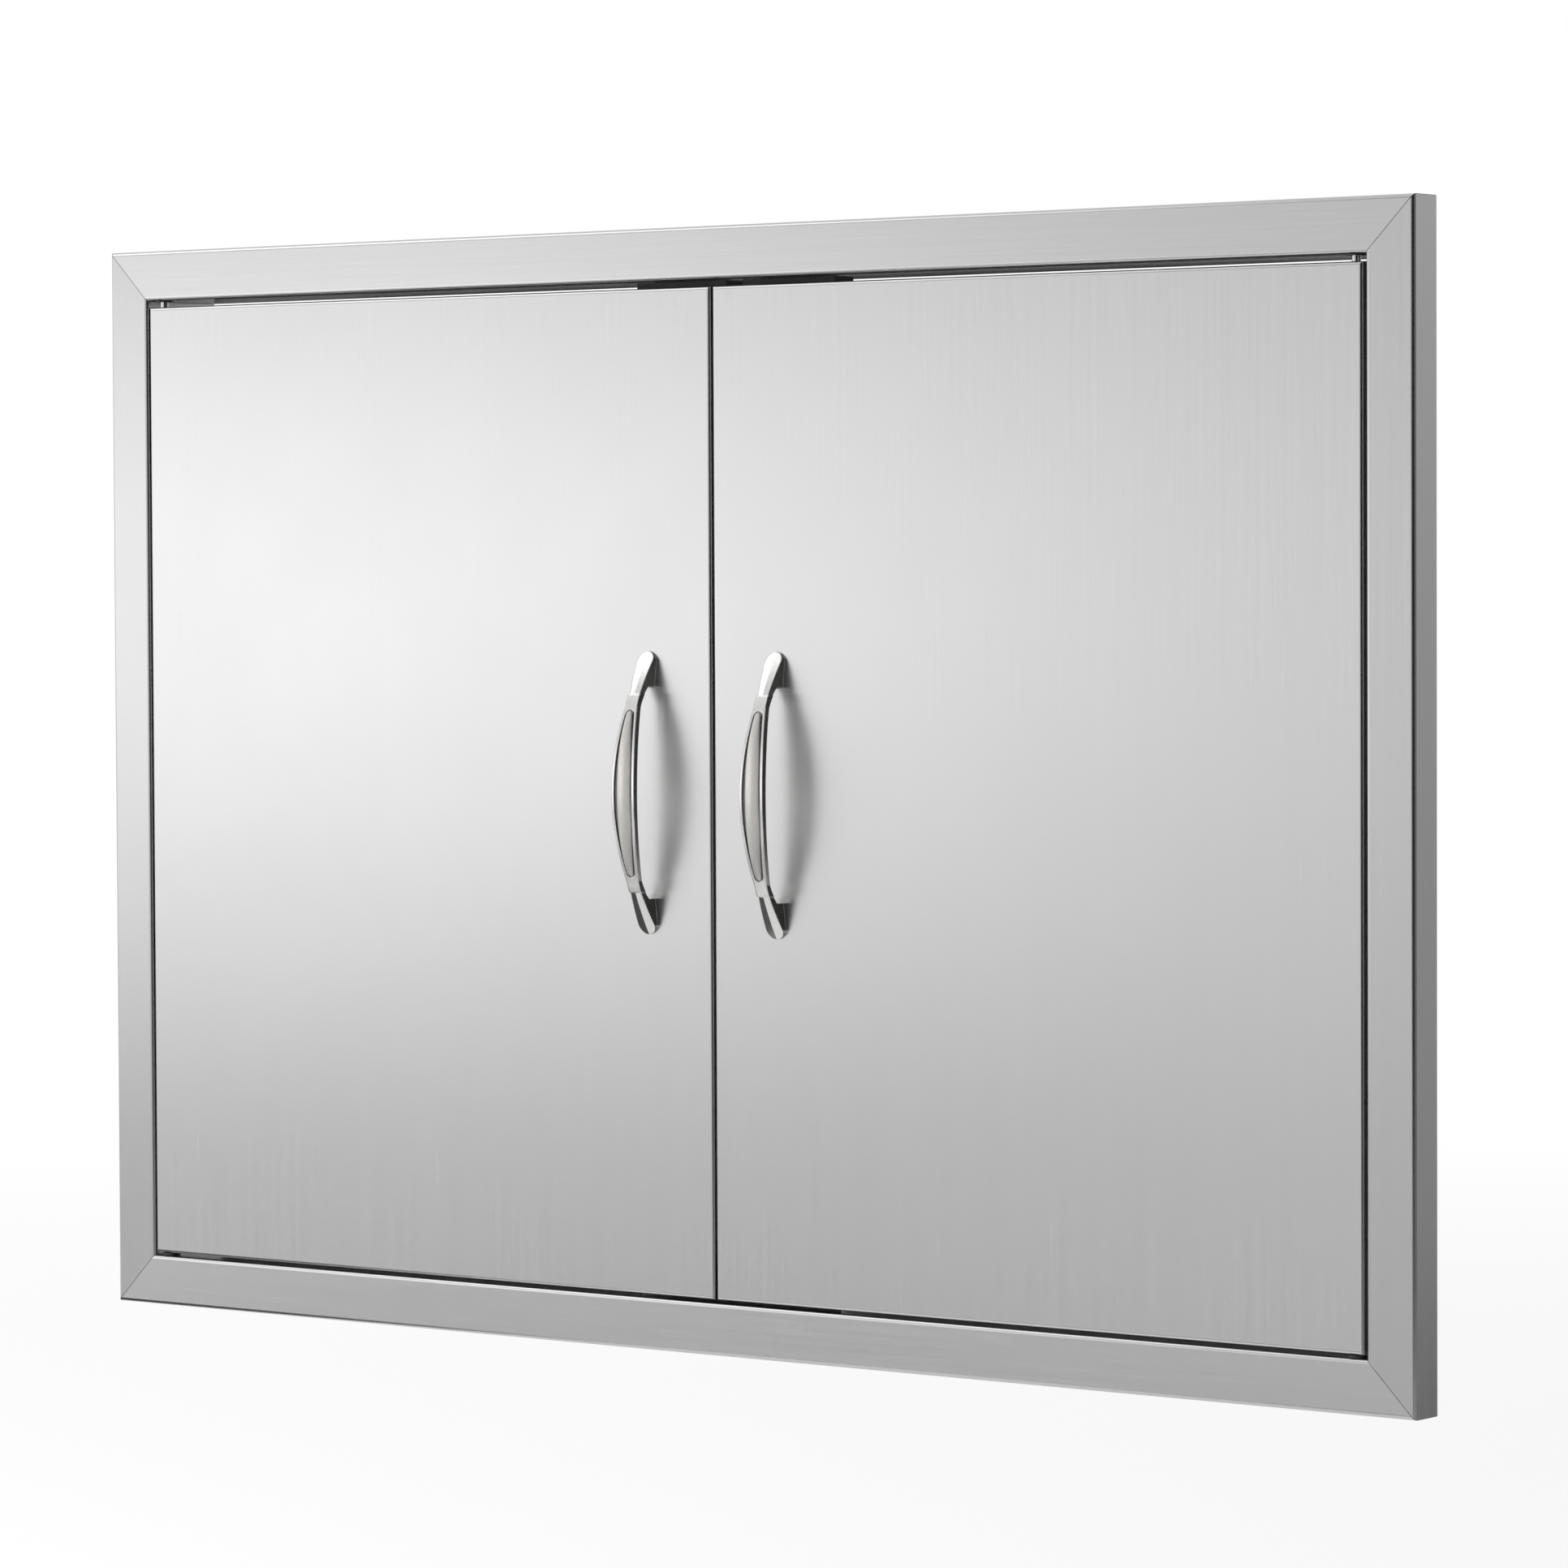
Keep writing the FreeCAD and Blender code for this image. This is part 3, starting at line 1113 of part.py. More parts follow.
def build():
    """Builds every piece, the left-hand ones first and then their mirror images."""
    make_rail("frame_top_rail", 1)
    make_rail("frame_bottom_rail", -1)
    make_stile("frame_left_stile")
    mirrored(parts["frame_left_stile"], "frame_right_stile")
    for x_name, left in (("left", -1), ("right", 1)):
        for z_name, top in (("top", 1), ("bottom", -1)):
            make_gusset(f"gusset_{z_name}_{x_name}", left, top)
    for z_name, side in (("upper", 1), ("lower", -1)):
        make_bush(f"left_{z_name}_bush", side)
        mirrored(parts[f"left_{z_name}_bush"], f"right_{z_name}_bush")
    make_catch()
    make_stop()
    make_door()
    make_pull()
    make_pivots()
    make_spring()
    door_pieces = (
        "door_skin",
        "door_stiffener",
        "strike_plate",
        "strike_rivets",
        "pull_backing_plate",
        "pull_washers",
        "pull_screws",
        "pull",
        "pull_insert",
        "lower_pivot_bracket",
        "upper_pivot_bracket",
        "lower_pivot_pin",
        "thrust_washer",
        "spring_pin",
        "pin_clip",
        "pin_spring",
    )
    for piece in door_pieces:
        mirrored(parts[f"left_{piece}"], f"right_{piece}")


def check_and_write():
    """Checks every object and piece, then writes one file for each piece."""
    doc.recompute()
    faults = []
    for thing in doc.Objects:
        if any(word in ("Invalid", "Error") for word in thing.State):
            faults.append(f"{thing.Label}: {thing.State}")
    for label, piece in parts.items():
        shape = piece.Shape
        if shape.isNull() or not shape.isValid() or not shape.Solids:
            faults.append(f"{label}: no valid solid")
    if faults:
        raise RuntimeError("; ".join(faults))
    os.makedirs("parts", exist_ok=True)
    for label, piece in sorted(parts.items()):
        piece.Shape.exportStep(os.path.join("parts", f"{label}.step"))
    print(f"{len(parts)} pieces written")


build()
check_and_write()
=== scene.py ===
"""Looks of the outdoor kitchen's double access door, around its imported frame."""

import logging
from dataclasses import dataclass
from enum import Enum
from typing import Any

import bmesh
import bpy
from mathutils import Matrix, Vector


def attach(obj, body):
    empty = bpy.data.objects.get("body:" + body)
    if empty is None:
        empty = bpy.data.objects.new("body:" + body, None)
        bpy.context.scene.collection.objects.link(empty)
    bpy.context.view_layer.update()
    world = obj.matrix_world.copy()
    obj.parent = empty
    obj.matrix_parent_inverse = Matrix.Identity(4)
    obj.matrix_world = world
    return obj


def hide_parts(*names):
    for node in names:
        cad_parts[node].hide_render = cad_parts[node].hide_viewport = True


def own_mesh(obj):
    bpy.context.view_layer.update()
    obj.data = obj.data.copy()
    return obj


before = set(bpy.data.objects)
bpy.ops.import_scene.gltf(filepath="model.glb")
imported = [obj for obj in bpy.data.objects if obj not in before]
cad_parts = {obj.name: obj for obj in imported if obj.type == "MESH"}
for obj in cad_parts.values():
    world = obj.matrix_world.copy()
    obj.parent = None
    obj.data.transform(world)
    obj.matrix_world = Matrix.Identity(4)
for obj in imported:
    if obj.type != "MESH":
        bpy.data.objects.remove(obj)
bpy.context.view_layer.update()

logging.basicConfig(level=logging.INFO, format="%(message)s")
log = logging.getLogger("access_door")

MM = 0.001
SIDES = ("left", "right")

# Nearly all of a noise's values lie between these two.
NOISE_LOW = 0.3
NOISE_HIGH = 0.7
# How strongly each finer octave of a noise shows.
NOISE_ROUGHNESS = 0.55

# A place, a way or a size along X, Y and Z.
Triple = tuple[float, float, float]


# Colour and node helpers


def linear(hex_colour: str) -> tuple[float, float, float, float]:
    """Turns an sRGB hex colour into linear values, by the sRGB standard's curve.

    Args:
        hex_colour: six hex digits with a leading #.

    Returns:
        Red, green, blue and alpha, linear.
    """
    digits = hex_colour.lstrip("#")
    values = [int(digits[start : start + 2], 16) / 255 for start in (0, 2, 4)]
    bent = [v / 12.92 if v <= 0.04045 else ((v + 0.055) / 1.055) ** 2.4 for v in values]
    return (*bent, 1.0)


def blank_material(name: str) -> bpy.types.Material:
    """Makes a material whose node tree is empty.

    Args:
        name: the material's name.

    Returns:
        The material.
    """
    made = bpy.data.materials.new(name)
    made.use_nodes = True
    made.node_tree.nodes.clear()
    return made


def add_node(
    tree: bpy.types.NodeTree,
    kind: str,
    inputs: dict[str | int, Any] | None = None,
    **settings: Any,
) -> bpy.types.Node:
    """Adds a node, sets its attributes, and fills or links its inputs.

    Args:
        tree: the material's or the world's node tree.
        kind: the node's type name.
        inputs: a value, or another node's output, for each input's name or number.
        **settings: attributes of the node.

    Returns:
        The node.
    """
    node = tree.nodes.new(kind)
    for name, value in settings.items():
        setattr(node, name, value)
    for key, value in (inputs or {}).items():
        if isinstance(value, bpy.types.NodeSocket):
            tree.links.new(value, node.inputs[key])
        else:
            node.inputs[key].default_value = value
    return node


# Finishes


class Grain(Enum):
    """The way that a surface was drawn through the belt, 1 for each axis across it."""

    UPRIGHT = (1.0, 1.0, 0.0)
    LEVEL = (0.0, 1.0, 1.0)


@dataclass(frozen=True)
class Finish:
    """One real material and how its surface was made.

    Base class: its pattern is plain, so each real finish gives its own. The surface
    varies from smoother to rougher than its roughness by those amounts, and bump is its
    bump's strength.
    """

    name: str
    colour: str
    roughness: float
    metallic: float = 1.0
    smoother: float = 0.0
    rougher: float = 0.0
    bump: float = 0.0
    bump_mm: float = 0.0

    def material(self) -> bpy.types.Material:
        """Builds the material.

        Returns:
            The finished material.
        """
        made = blank_material(self.name)
        tree = made.node_tree
        shader = add_node(
            tree,
            "ShaderNodeBsdfPrincipled",
            {
                "Metallic": self.metallic,
                "Roughness": self.roughness,
                "Base Color": linear(self.colour),
            },
        )
        add_node(tree, "ShaderNodeOutputMaterial", {"Surface": shader.outputs["BSDF"]})
        self.pattern(tree, shader)
        return made

    def pattern(self, tree: bpy.types.NodeTree, shader: bpy.types.Node) -> None:
        """Adds the surface's own detail.

        Args:
            tree: the node tree.
            shader: the surface's shader.
        """

    def noise(
        self, tree: bpy.types.NodeTree, size_mm: Triple, detail: float
    ) -> bpy.types.NodeSocket:
        """Adds noise whose grains have a real size along each axis.

        Args:
            tree: the node tree.
            size_mm: the grains' size along X, Y and Z.
            detail: octaves of finer noise.

        Returns:
            The noise's value.
        """
        place = add_node(tree, "ShaderNodeTexCoord")
        mapping = add_node(
            tree,
            "ShaderNodeMapping",
            {
                "Vector": place.outputs["Object"],
                "Scale": tuple(1.0 / (size * MM) for size in size_mm),
            },
        )
        return add_node(
            tree,
            "ShaderNodeTexNoise",
            {
                "Vector": mapping.outputs["Vector"],
                "Scale": 1.0,
                "Detail": detail,
                "Roughness": NOISE_ROUGHNESS,
            },
        ).outputs["Fac"]

    def spread(
        self,
        tree: bpy.types.NodeTree,
        value: bpy.types.NodeSocket,
        low: float,
        high: float,
    ) -> bpy.types.NodeSocket:
        """Maps the middle of a noise's range to another range.

        Args:
            tree: the node tree.
            value: the noise.
            low: the result where the noise is low.
            high: the result where it is high.

        Returns:
            The mapped value.
        """
        return add_node(
            tree,
            "ShaderNodeMapRange",
            {
                "Value": value,
                "From Min": NOISE_LOW,
                "From Max": NOISE_HIGH,
                "To Min": low,
                "To Max": high,
            },
        ).outputs["Result"]

    def vary_roughness(
        self, tree: bpy.types.NodeTree, value: bpy.types.NodeSocket
    ) -> bpy.types.NodeSocket:
        """Maps a noise to the surface's own range of roughness.

        Args:
            tree: the node tree.
            value: the noise.

        Returns:
            The roughness.
        """
        low, high = self.roughness - self.smoother, self.roughness + self.rougher
        return self.spread(tree, value, low, high)

    def tint(
        self,
        tree: bpy.types.NodeTree,
        shader: bpy.types.Node,
        value: bpy.types.NodeSocket,
        high: str,
    ) -> None:
        """Colours the shader by a noise, from the surface's own colour to another.

        Args:
            tree: the node tree.
            shader: the surface's shader.
            value: the noise.
            high: hex colour where the noise is high.
        """
        ramp = add_node(tree, "ShaderNodeValToRGB", {"Fac": value})
        low_end, high_end = ramp.color_ramp.elements
        low_end.position, low_end.color = NOISE_LOW, linear(self.colour)
        high_end.position, high_end.color = NOISE_HIGH, linear(high)
        tree.links.new(ramp.outputs["Color"], shader.inputs["Base Color"])

    def raise_bump(
        self,
        tree: bpy.types.NodeTree,
        shader: bpy.types.Node,
        height: bpy.types.NodeSocket,
    ) -> None:
        """Gives the shader the surface's bump.

        Args:
            tree: the node tree.
            shader: the surface's shader.
            height: the noise that the bump follows.
        """
        bump = add_node(
            tree,
            "ShaderNodeBump",
            {"Height": height, "Strength": self.bump, "Distance": self.bump_mm * MM},
        )
        tree.links.new(bump.outputs["Normal"], shader.inputs["Normal"])


@dataclass(frozen=True)
class BrushedStainless(Finish):
    """Stainless sheet brushed on a belt: fine hairs that smear reflections across them.

    Real hairs are near 0.1 mm wide, too fine for the picture, so they are drawn
    coarser. They show as faint streaks, unevenly over the sheet.
    """

    grain: Grain = Grain.UPRIGHT
    worn: str = "#BBBBBB"
    hair_mm: float = 0.55
    run_mm: float = 30.0
    band_mm: float = 3.0
    band_run_mm: float = 180.0
    drift_mm: float = 60.0
    detail: float = 2.0
    smoother: float = 0.02
    rougher: float = 0.02
    drift_spread: float = 0.008
    bump: float = 0.02
    bump_mm: float = 0.2
    anisotropy: float = 0.35

    def streaks(
        self, tree: bpy.types.NodeTree, across_mm: float, along_mm: float
    ) -> bpy.types.NodeSocket:
        """Adds noise drawn out along the grain.

        Args:
            tree: the node tree.
            across_mm: the streaks' width.
            along_mm: the streaks' length.

        Returns:
            The noise's value.
        """
        size = tuple(across_mm if axis else along_mm for axis in self.grain.value)
        return self.noise(tree, size, self.detail)

    def pattern(self, tree: bpy.types.NodeTree, shader: bpy.types.Node) -> None:
        """Adds the hairs, broader bands of them, a slow drift and the smearing.

        Args:
            tree: the node tree.
            shader: the surface's shader.
        """
        hairs = self.streaks(tree, self.hair_mm, self.run_mm)
        bands = self.streaks(tree, self.band_mm, self.band_run_mm)
        drift = self.noise(tree, (self.drift_mm,) * 3, self.detail)
        both = add_node(tree, "ShaderNodeMath", {0: hairs, 1: bands}, operation="ADD")
        mean = add_node(
            tree, "ShaderNodeMath", {0: both.outputs[0], 1: 0.5}, operation="MULTIPLY"
        ).outputs[0]
        self.tint(tree, shader, mean, self.worn)
        rough = add_node(
            tree,
            "ShaderNodeMath",
            {
                0: self.vary_roughness(tree, mean),
                1: self.spread(tree, drift, -self.drift_spread, self.drift_spread),
            },
            operation="ADD",
        )
        tree.links.new(rough.outputs[0], shader.inputs["Roughness"])
        self.raise_bump(tree, shader, hairs)
        shader.inputs["Anisotropic"].default_value = self.anisotropy
        smear = add_node(
            tree, "ShaderNodeCombineXYZ", dict(zip("XYZ", self.grain.value))
        )
        tree.links.new(smear.outputs["Vector"], shader.inputs["Tangent"])


@dataclass(frozen=True)
class MillStainless(Finish):
    """Cold-rolled stainless as it leaves the mill: dull grey, pebbled and cloudy."""

    light: str = "#B9B9B8"
    pebble_mm: float = 0.9
    cloud_mm: float = 22.0
    smoother: float = 0.05
    rougher: float = 0.06
    bump: float = 0.08
    bump_mm: float = 0.1

    def pattern(self, tree: bpy.types.NodeTree, shader: bpy.types.Node) -> None:
        """Adds the rolled pebble and the cloud.

        Args:
            tree: the node tree.
            shader: the surface's shader.
        """
        pebble = self.noise(tree, (self.pebble_mm,) * 3, detail=2.0)
        cloud = self.noise(tree, (self.cloud_mm,) * 3, detail=4.0)
        self.tint(tree, shader, cloud, self.light)
        rough = self.vary_roughness(tree, cloud)
        tree.links.new(rough, shader.inputs["Roughness"])
        self.raise_bump(tree, shader, pebble)


@dataclass(frozen=True)
class ZincPlating(Finish):
    """Clear zinc plating on steel: cool, a little blue, in bright and dull patches.

    Aluminium rivets have the same patches, paler and smaller.
    """

    light: str = "#C3C9CF"
    patch_mm: float = 2.5
    smoother: float = 0.08
    rougher: float = 0.1

    def pattern(self, tree: bpy.types.NodeTree, shader: bpy.types.Node) -> None:
        """Adds the patches of the plating.

        Args:
            tree: the node tree.
            shader: the surface's shader.
        """
        patch = self.noise(tree, (self.patch_mm,) * 3, detail=5.0)
        self.tint(tree, shader, patch, self.light)
        rough = self.vary_roughness(tree, patch)
        tree.links.new(rough, shader.inputs["Roughness"])


@dataclass(frozen=True)
class DrawnSteel(Finish):
    """Steel wire or rod, drawn through a die: bright, with fine lines along it."""

    line_mm: Triple = (0.25, 0.25, 9.0)
    smoother: float = 0.06
    rougher: float = 0.08
    bump: float = 0.1
    bump_mm: float = 0.05

    def pattern(self, tree: bpy.types.NodeTree, shader: bpy.types.Node) -> None:
        """Adds the die lines.

        Args:
            tree: the node tree.
            shader: the surface's shader.
        """
        lines = self.noise(tree, self.line_mm, detail=3.0)
        rough = self.vary_roughness(tree, lines)
        tree.links.new(rough, shader.inputs["Roughness"])
        self.raise_bump(tree, shader, lines)


@dataclass(frozen=True)
class PolishedNickel(Finish):
    """Cast zinc alloy, buffed and nickel plated: near-mirror, with faint swirls.

    Its edges are shaded as round, because buffing softens them.
    """

    worn: str = "#C8C7C5"
    swirl_mm: float = 1.6
    swirl_stretch: float = 4.0
    edge_mm: float = 0.8
    edge_samples: int = 12
    smoother: float = 0.03
    rougher: float = 0.04

    def pattern(self, tree: bpy.types.NodeTree, shader: bpy.types.Node) -> None:
        """Adds the swirls left by the buffing wheel, and the light that edges catch.

        Args:
            tree: the node tree.
            shader: the surface's shader.
        """
        soft = add_node(
            tree,
            "ShaderNodeBevel",
            {"Radius": self.edge_mm * MM},
            samples=self.edge_samples,
        )
        tree.links.new(soft.outputs["Normal"], shader.inputs["Normal"])
        size = (self.swirl_mm, self.swirl_mm, self.swirl_stretch * self.swirl_mm)
        swirl = self.noise(tree, size, detail=4.0)
        self.tint(tree, shader, swirl, self.worn)
        rough = self.vary_roughness(tree, swirl)
        tree.links.new(rough, shader.inputs["Roughness"])


@dataclass(frozen=True)
class Moulded(Finish):
    """Moulded plastic, rubber or ferrite, with the fine sparkle of an eroded mould."""

    metallic: float = 0.0
    shade: str = "#2B2B2C"
    shade_mm: float = 7.0
    grit_mm: float = 0.35
    smoother: float = 0.05
    rougher: float = 0.07
    bump: float = 0.12
    bump_mm: float = 0.05

    def pattern(self, tree: bpy.types.NodeTree, shader: bpy.types.Node) -> None:
        """Adds the mould's grit and a slow change of shade.

        Args:
            tree: the node tree.
            shader: the surface's shader.
        """
        grit = self.noise(tree, (self.grit_mm,) * 3, detail=2.0)
        slow = self.noise(tree, (self.shade_mm,) * 3, detail=3.0)
        self.tint(tree, shader, slow, self.shade)
        rough = self.vary_roughness(tree, grit)
        tree.links.new(rough, shader.inputs["Roughness"])
        self.raise_bump(tree, shader, grit)


FINISHES = {
    # stainless sheet, belt brushed along its height: reflections smeared sideways
    "door_steel": BrushedStainless(
        "stainless_brushed_upright", "#BBBBBB", 0.25, worn="#BFBFBF", anisotropy=0.75
    ),
    # the trim's stiles, the same brushing on a slightly greyer strip
    "stile_steel": BrushedStainless(
        "stainless_brushed_upright_trim",
        "#B3B3B3",
        0.25,
        worn="#B7B7B7",
        anisotropy=0.75,
    ),
    # the trim's rails, brushed along their length: reflections smeared up and down
    "rail_steel": BrushedStainless(
        "stainless_brushed_level", "#B7B7B7", 0.21, grain=Grain.LEVEL
    ),
    # stainless with its mill finish: grey and cloudy
    "mill_steel": MillStainless("stainless_mill_finish", "#A5A5A4", 0.38),
    # zinc plated steel: bluish, patchy
    "zinc": ZincPlating("steel_zinc_plated", "#A9AFB6", 0.3),
    # aluminium rivets: pale, soft sheen
    "alloy": ZincPlating(
        "aluminium_rivet", "#B9BABC", 0.36, light="#CFCFD0", patch_mm=1.4
    ),
    # cast and plated pulls: dark and bright, near mirror
    "pull": PolishedNickel("zinc_alloy_polished_nickel", "#D0CFCD", 0.14),
    # the same casting, satin on the grip: a soft band of light
    "grip": PolishedNickel(
        "zinc_alloy_satin_nickel", "#BCBAB7", 0.3, worn="#B4B2AF", swirl_mm=0.9
    ),
    # ground steel rod: bright, lined along its length
    "rod": DrawnSteel("steel_rod_ground", "#C4C3C1", 0.22),
    # spring wire: a shade browner from its temper, its turns too fine for lines
    "wire": DrawnSteel(
        "spring_wire_tempered", "#A8A29B", 0.28, line_mm=(0.2, 0.2, 0.2)
    ),
    # black nylon bushes: near-black, soft
    "nylon": Moulded("nylon_moulded_black", "#1D1D1D", 0.42, shade="#262626"),
    # ABS catch bodies: near-black, faint grit
    "abs": Moulded("abs_moulded_black", "#232323", 0.45),
    # sintered ferrite: charcoal, matt
    "ferrite": Moulded(
        "ferrite_sintered", "#2E2E31", 0.62, shade="#3A3A3E", grit_mm=0.6
    ),
    # moulded rubber: black, matt
    "rubber": Moulded("rubber_moulded", "#1B1B1B", 0.7, shade="#242424", grit_mm=0.5),
}


class Finishes:
    """Makes each material once, when a piece first asks for it."""

    def __init__(self) -> None:
        """Starts with none made."""
        self.made: dict[str, bpy.types.Material] = {}

    def get(self, key: str) -> bpy.types.Material:
        """Gives the material of a finish.

        Args:
            key: a name in FINISHES.

        Returns:
            The material.
        """
        if key not in self.made:
            self.made[key] = FINISHES[key].material()
        return self.made[key]


def dress(finishes: Finishes, key: str, *nodes: str) -> None:
    """Gives a finish to frame nodes.

    Args:
        finishes: the finishes made so far.
        key: a name in FINISHES.
        *nodes: names of frame nodes.
    """
    for name in nodes:
        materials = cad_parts[name].data.materials
        materials.clear()
        materials.append(finishes.get(key))
        log.info("%s: %s", name, finishes.get(key).name)


# Sub-assemblies


@dataclass
class TrimFrame:
    """The mitred frame: two rails, two stiles and the plates behind their mitres."""

    rails: tuple[str, str] = ("frame_top_rail", "frame_bottom_rail")
    stiles: tuple[str, str] = ("frame_left_stile", "frame_right_stile")

    def dress(self, finishes: Finishes) -> None:
        """Dresses rails and stiles along their length, and the plates in mill finish.

        Args:
            finishes: the finishes made so far.
        """
        dress(finishes, "rail_steel", *self.rails)
        dress(finishes, "stile_steel", *self.stiles)
        for high in ("top", "bottom"):
            dress(finishes, "mill_steel", *(f"gusset_{high}_{side}" for side in SIDES))


@dataclass
class Door:
    """One door: skin, stiffener, pull and the plates and fasteners behind it."""

    side: str

    def dress(self, finishes: Finishes) -> None:
        """Dresses the door's nodes.

        Args:
            finishes: the finishes made so far.
        """
        side = self.side
        plates = (f"{side}_door_stiffener", f"{side}_pull_backing_plate")
        fasteners = (f"{side}_pull_washers", f"{side}_pull_screws")
        dress(finishes, "door_steel", f"{side}_door_skin")
        dress(finishes, "mill_steel", *plates)
        dress(finishes, "zinc", f"{side}_strike_plate", *fasteners)
        dress(finishes, "alloy", f"{side}_strike_rivets")
        dress(finishes, "pull", f"{side}_pull")
        dress(finishes, "grip", f"{side}_pull_insert")


@dataclass
class Pivots:
    """One door's pivots: brackets, pins, spring, bushes and thrust washer.

    pin_travel is how far the pin pulls down, and spring_foot the height of the face
    that the spring stands on, both in metres, as the CAD has them. Neither is used.
    """

    side: str
    pin_travel: float = 0.007
    spring_foot: float = 0.2071
    weld_mm: float = 0.001

    def dress(self, finishes: Finishes) -> None:
        """Dresses the pivots' nodes, and stands the coil in for the spring.

        Args:
            finishes: the finishes made so far.
        """
        side = self.side
        brackets = (f"{side}_upper_pivot_bracket", f"{side}_lower_pivot_bracket")
        pins = (f"{side}_lower_pivot_pin", f"{side}_spring_pin", f"{side}_pin_clip")
        dress(finishes, "mill_steel", *brackets)
        dress(finishes, "rod", *pins)
        self.coil(finishes)
        for name in ("upper_bush", "lower_bush", "thrust_washer"):
            dress(finishes, "nylon", f"{side}_{name}")

    def spring_mesh(self, node: bpy.types.Object) -> bpy.types.Mesh:
        """Copies the spring's mesh and welds its seams.

        Args:
            node: the spring's frame node.

        Returns:
            The welded copy, smoothly shaded.
        """
        mesh = node.data.copy()
        mesh.transform(node.matrix_world)
        # The node's own normals were made for the seams, and don't fit the welded mesh.
        own_normals = mesh.attributes.get("custom_normal")
        if own_normals is not None:
            mesh.attributes.remove(own_normals)
        work = bmesh.new()
        work.from_mesh(mesh)
        bmesh.ops.remove_doubles(work, verts=work.verts, dist=self.weld_mm * MM)
        bmesh.ops.recalc_face_normals(work, faces=work.faces)
        for part in (*work.faces, *work.edges):
            part.smooth = True
        work.to_mesh(mesh)
        work.free()
        return mesh

    def coil(self, finishes: Finishes) -> None:
        """Stands a copy of the spring in for its node.

        The copy stays on the door, its foot on the bracket.

        Args:
            finishes: the finishes made so far.
        """
        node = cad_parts[f"{self.side}_pin_spring"]
        mesh = self.spring_mesh(node)
        coil = bpy.data.objects.new(f"{self.side}_pin_coil", mesh)
        bpy.context.scene.collection.objects.link(coil)
        mesh.materials.clear()
        mesh.materials.append(finishes.get("wire"))
        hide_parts(node.name)
        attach(coil, f"{self.side}_door")
        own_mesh(coil)
        wire = finishes.get("wire").name


@dataclass
class Catches:
    """The magnetic catches under the top rail and the stop on the bottom rail."""

    def dress(self, finishes: Finishes) -> None:
        """Dresses the catches and the stop.

        Args:
            finishes: the finishes made so far.
        """
        for side in SIDES:
            dress(finishes, "abs", f"{side}_catch_body")
            dress(finishes, "ferrite", f"{side}_catch_magnet")
            dress(finishes, "zinc", f"{side}_catch_pole_plates")
        dress(finishes, "zinc", "catch_screws")
        dress(finishes, "mill_steel", "stop_bracket")
        dress(finishes, "rubber", "stop_bumpers")
        dress(finishes, "alloy", "stop_bracket_rivets")


# Studio


def sheet(name: str, corners: list[Vector]) -> bpy.types.Object:
    """Makes a flat four-sided sheet.

    Args:
        name: the object's name.
        corners: its corners in turn.

    Returns:
        The object, at the origin.
    """
    mesh = bpy.data.meshes.new(name)
    shape = bmesh.new()
    shape.faces.new([shape.verts.new(corner) for corner in corners])
    shape.to_mesh(mesh)
    shape.free()
    made = bpy.data.objects.new(name, mesh)
    bpy.context.scene.collection.objects.link(made)
    return made


def seen_directly(tree: bpy.types.NodeTree) -> bpy.types.NodeSocket:
    """Tells the camera's rays, and those off shiny or clear surfaces, from the rest.

    Args:
        tree: the node tree.

    Returns:
        1 for such rays, otherwise 0.
    """
    rays = add_node(tree, "ShaderNodeLightPath")
    shiny = add_node(
        tree,
        "ShaderNodeMath",
        {0: rays.outputs["Is Glossy Ray"], 1: rays.outputs["Is Transmission Ray"]},
        operation="MAXIMUM",
    )
    return add_node(
        tree,
        "ShaderNodeMath",
        {0: rays.outputs["Is Camera Ray"], 1: shiny.outputs[0]},
        operation="MAXIMUM",
    ).outputs[0]


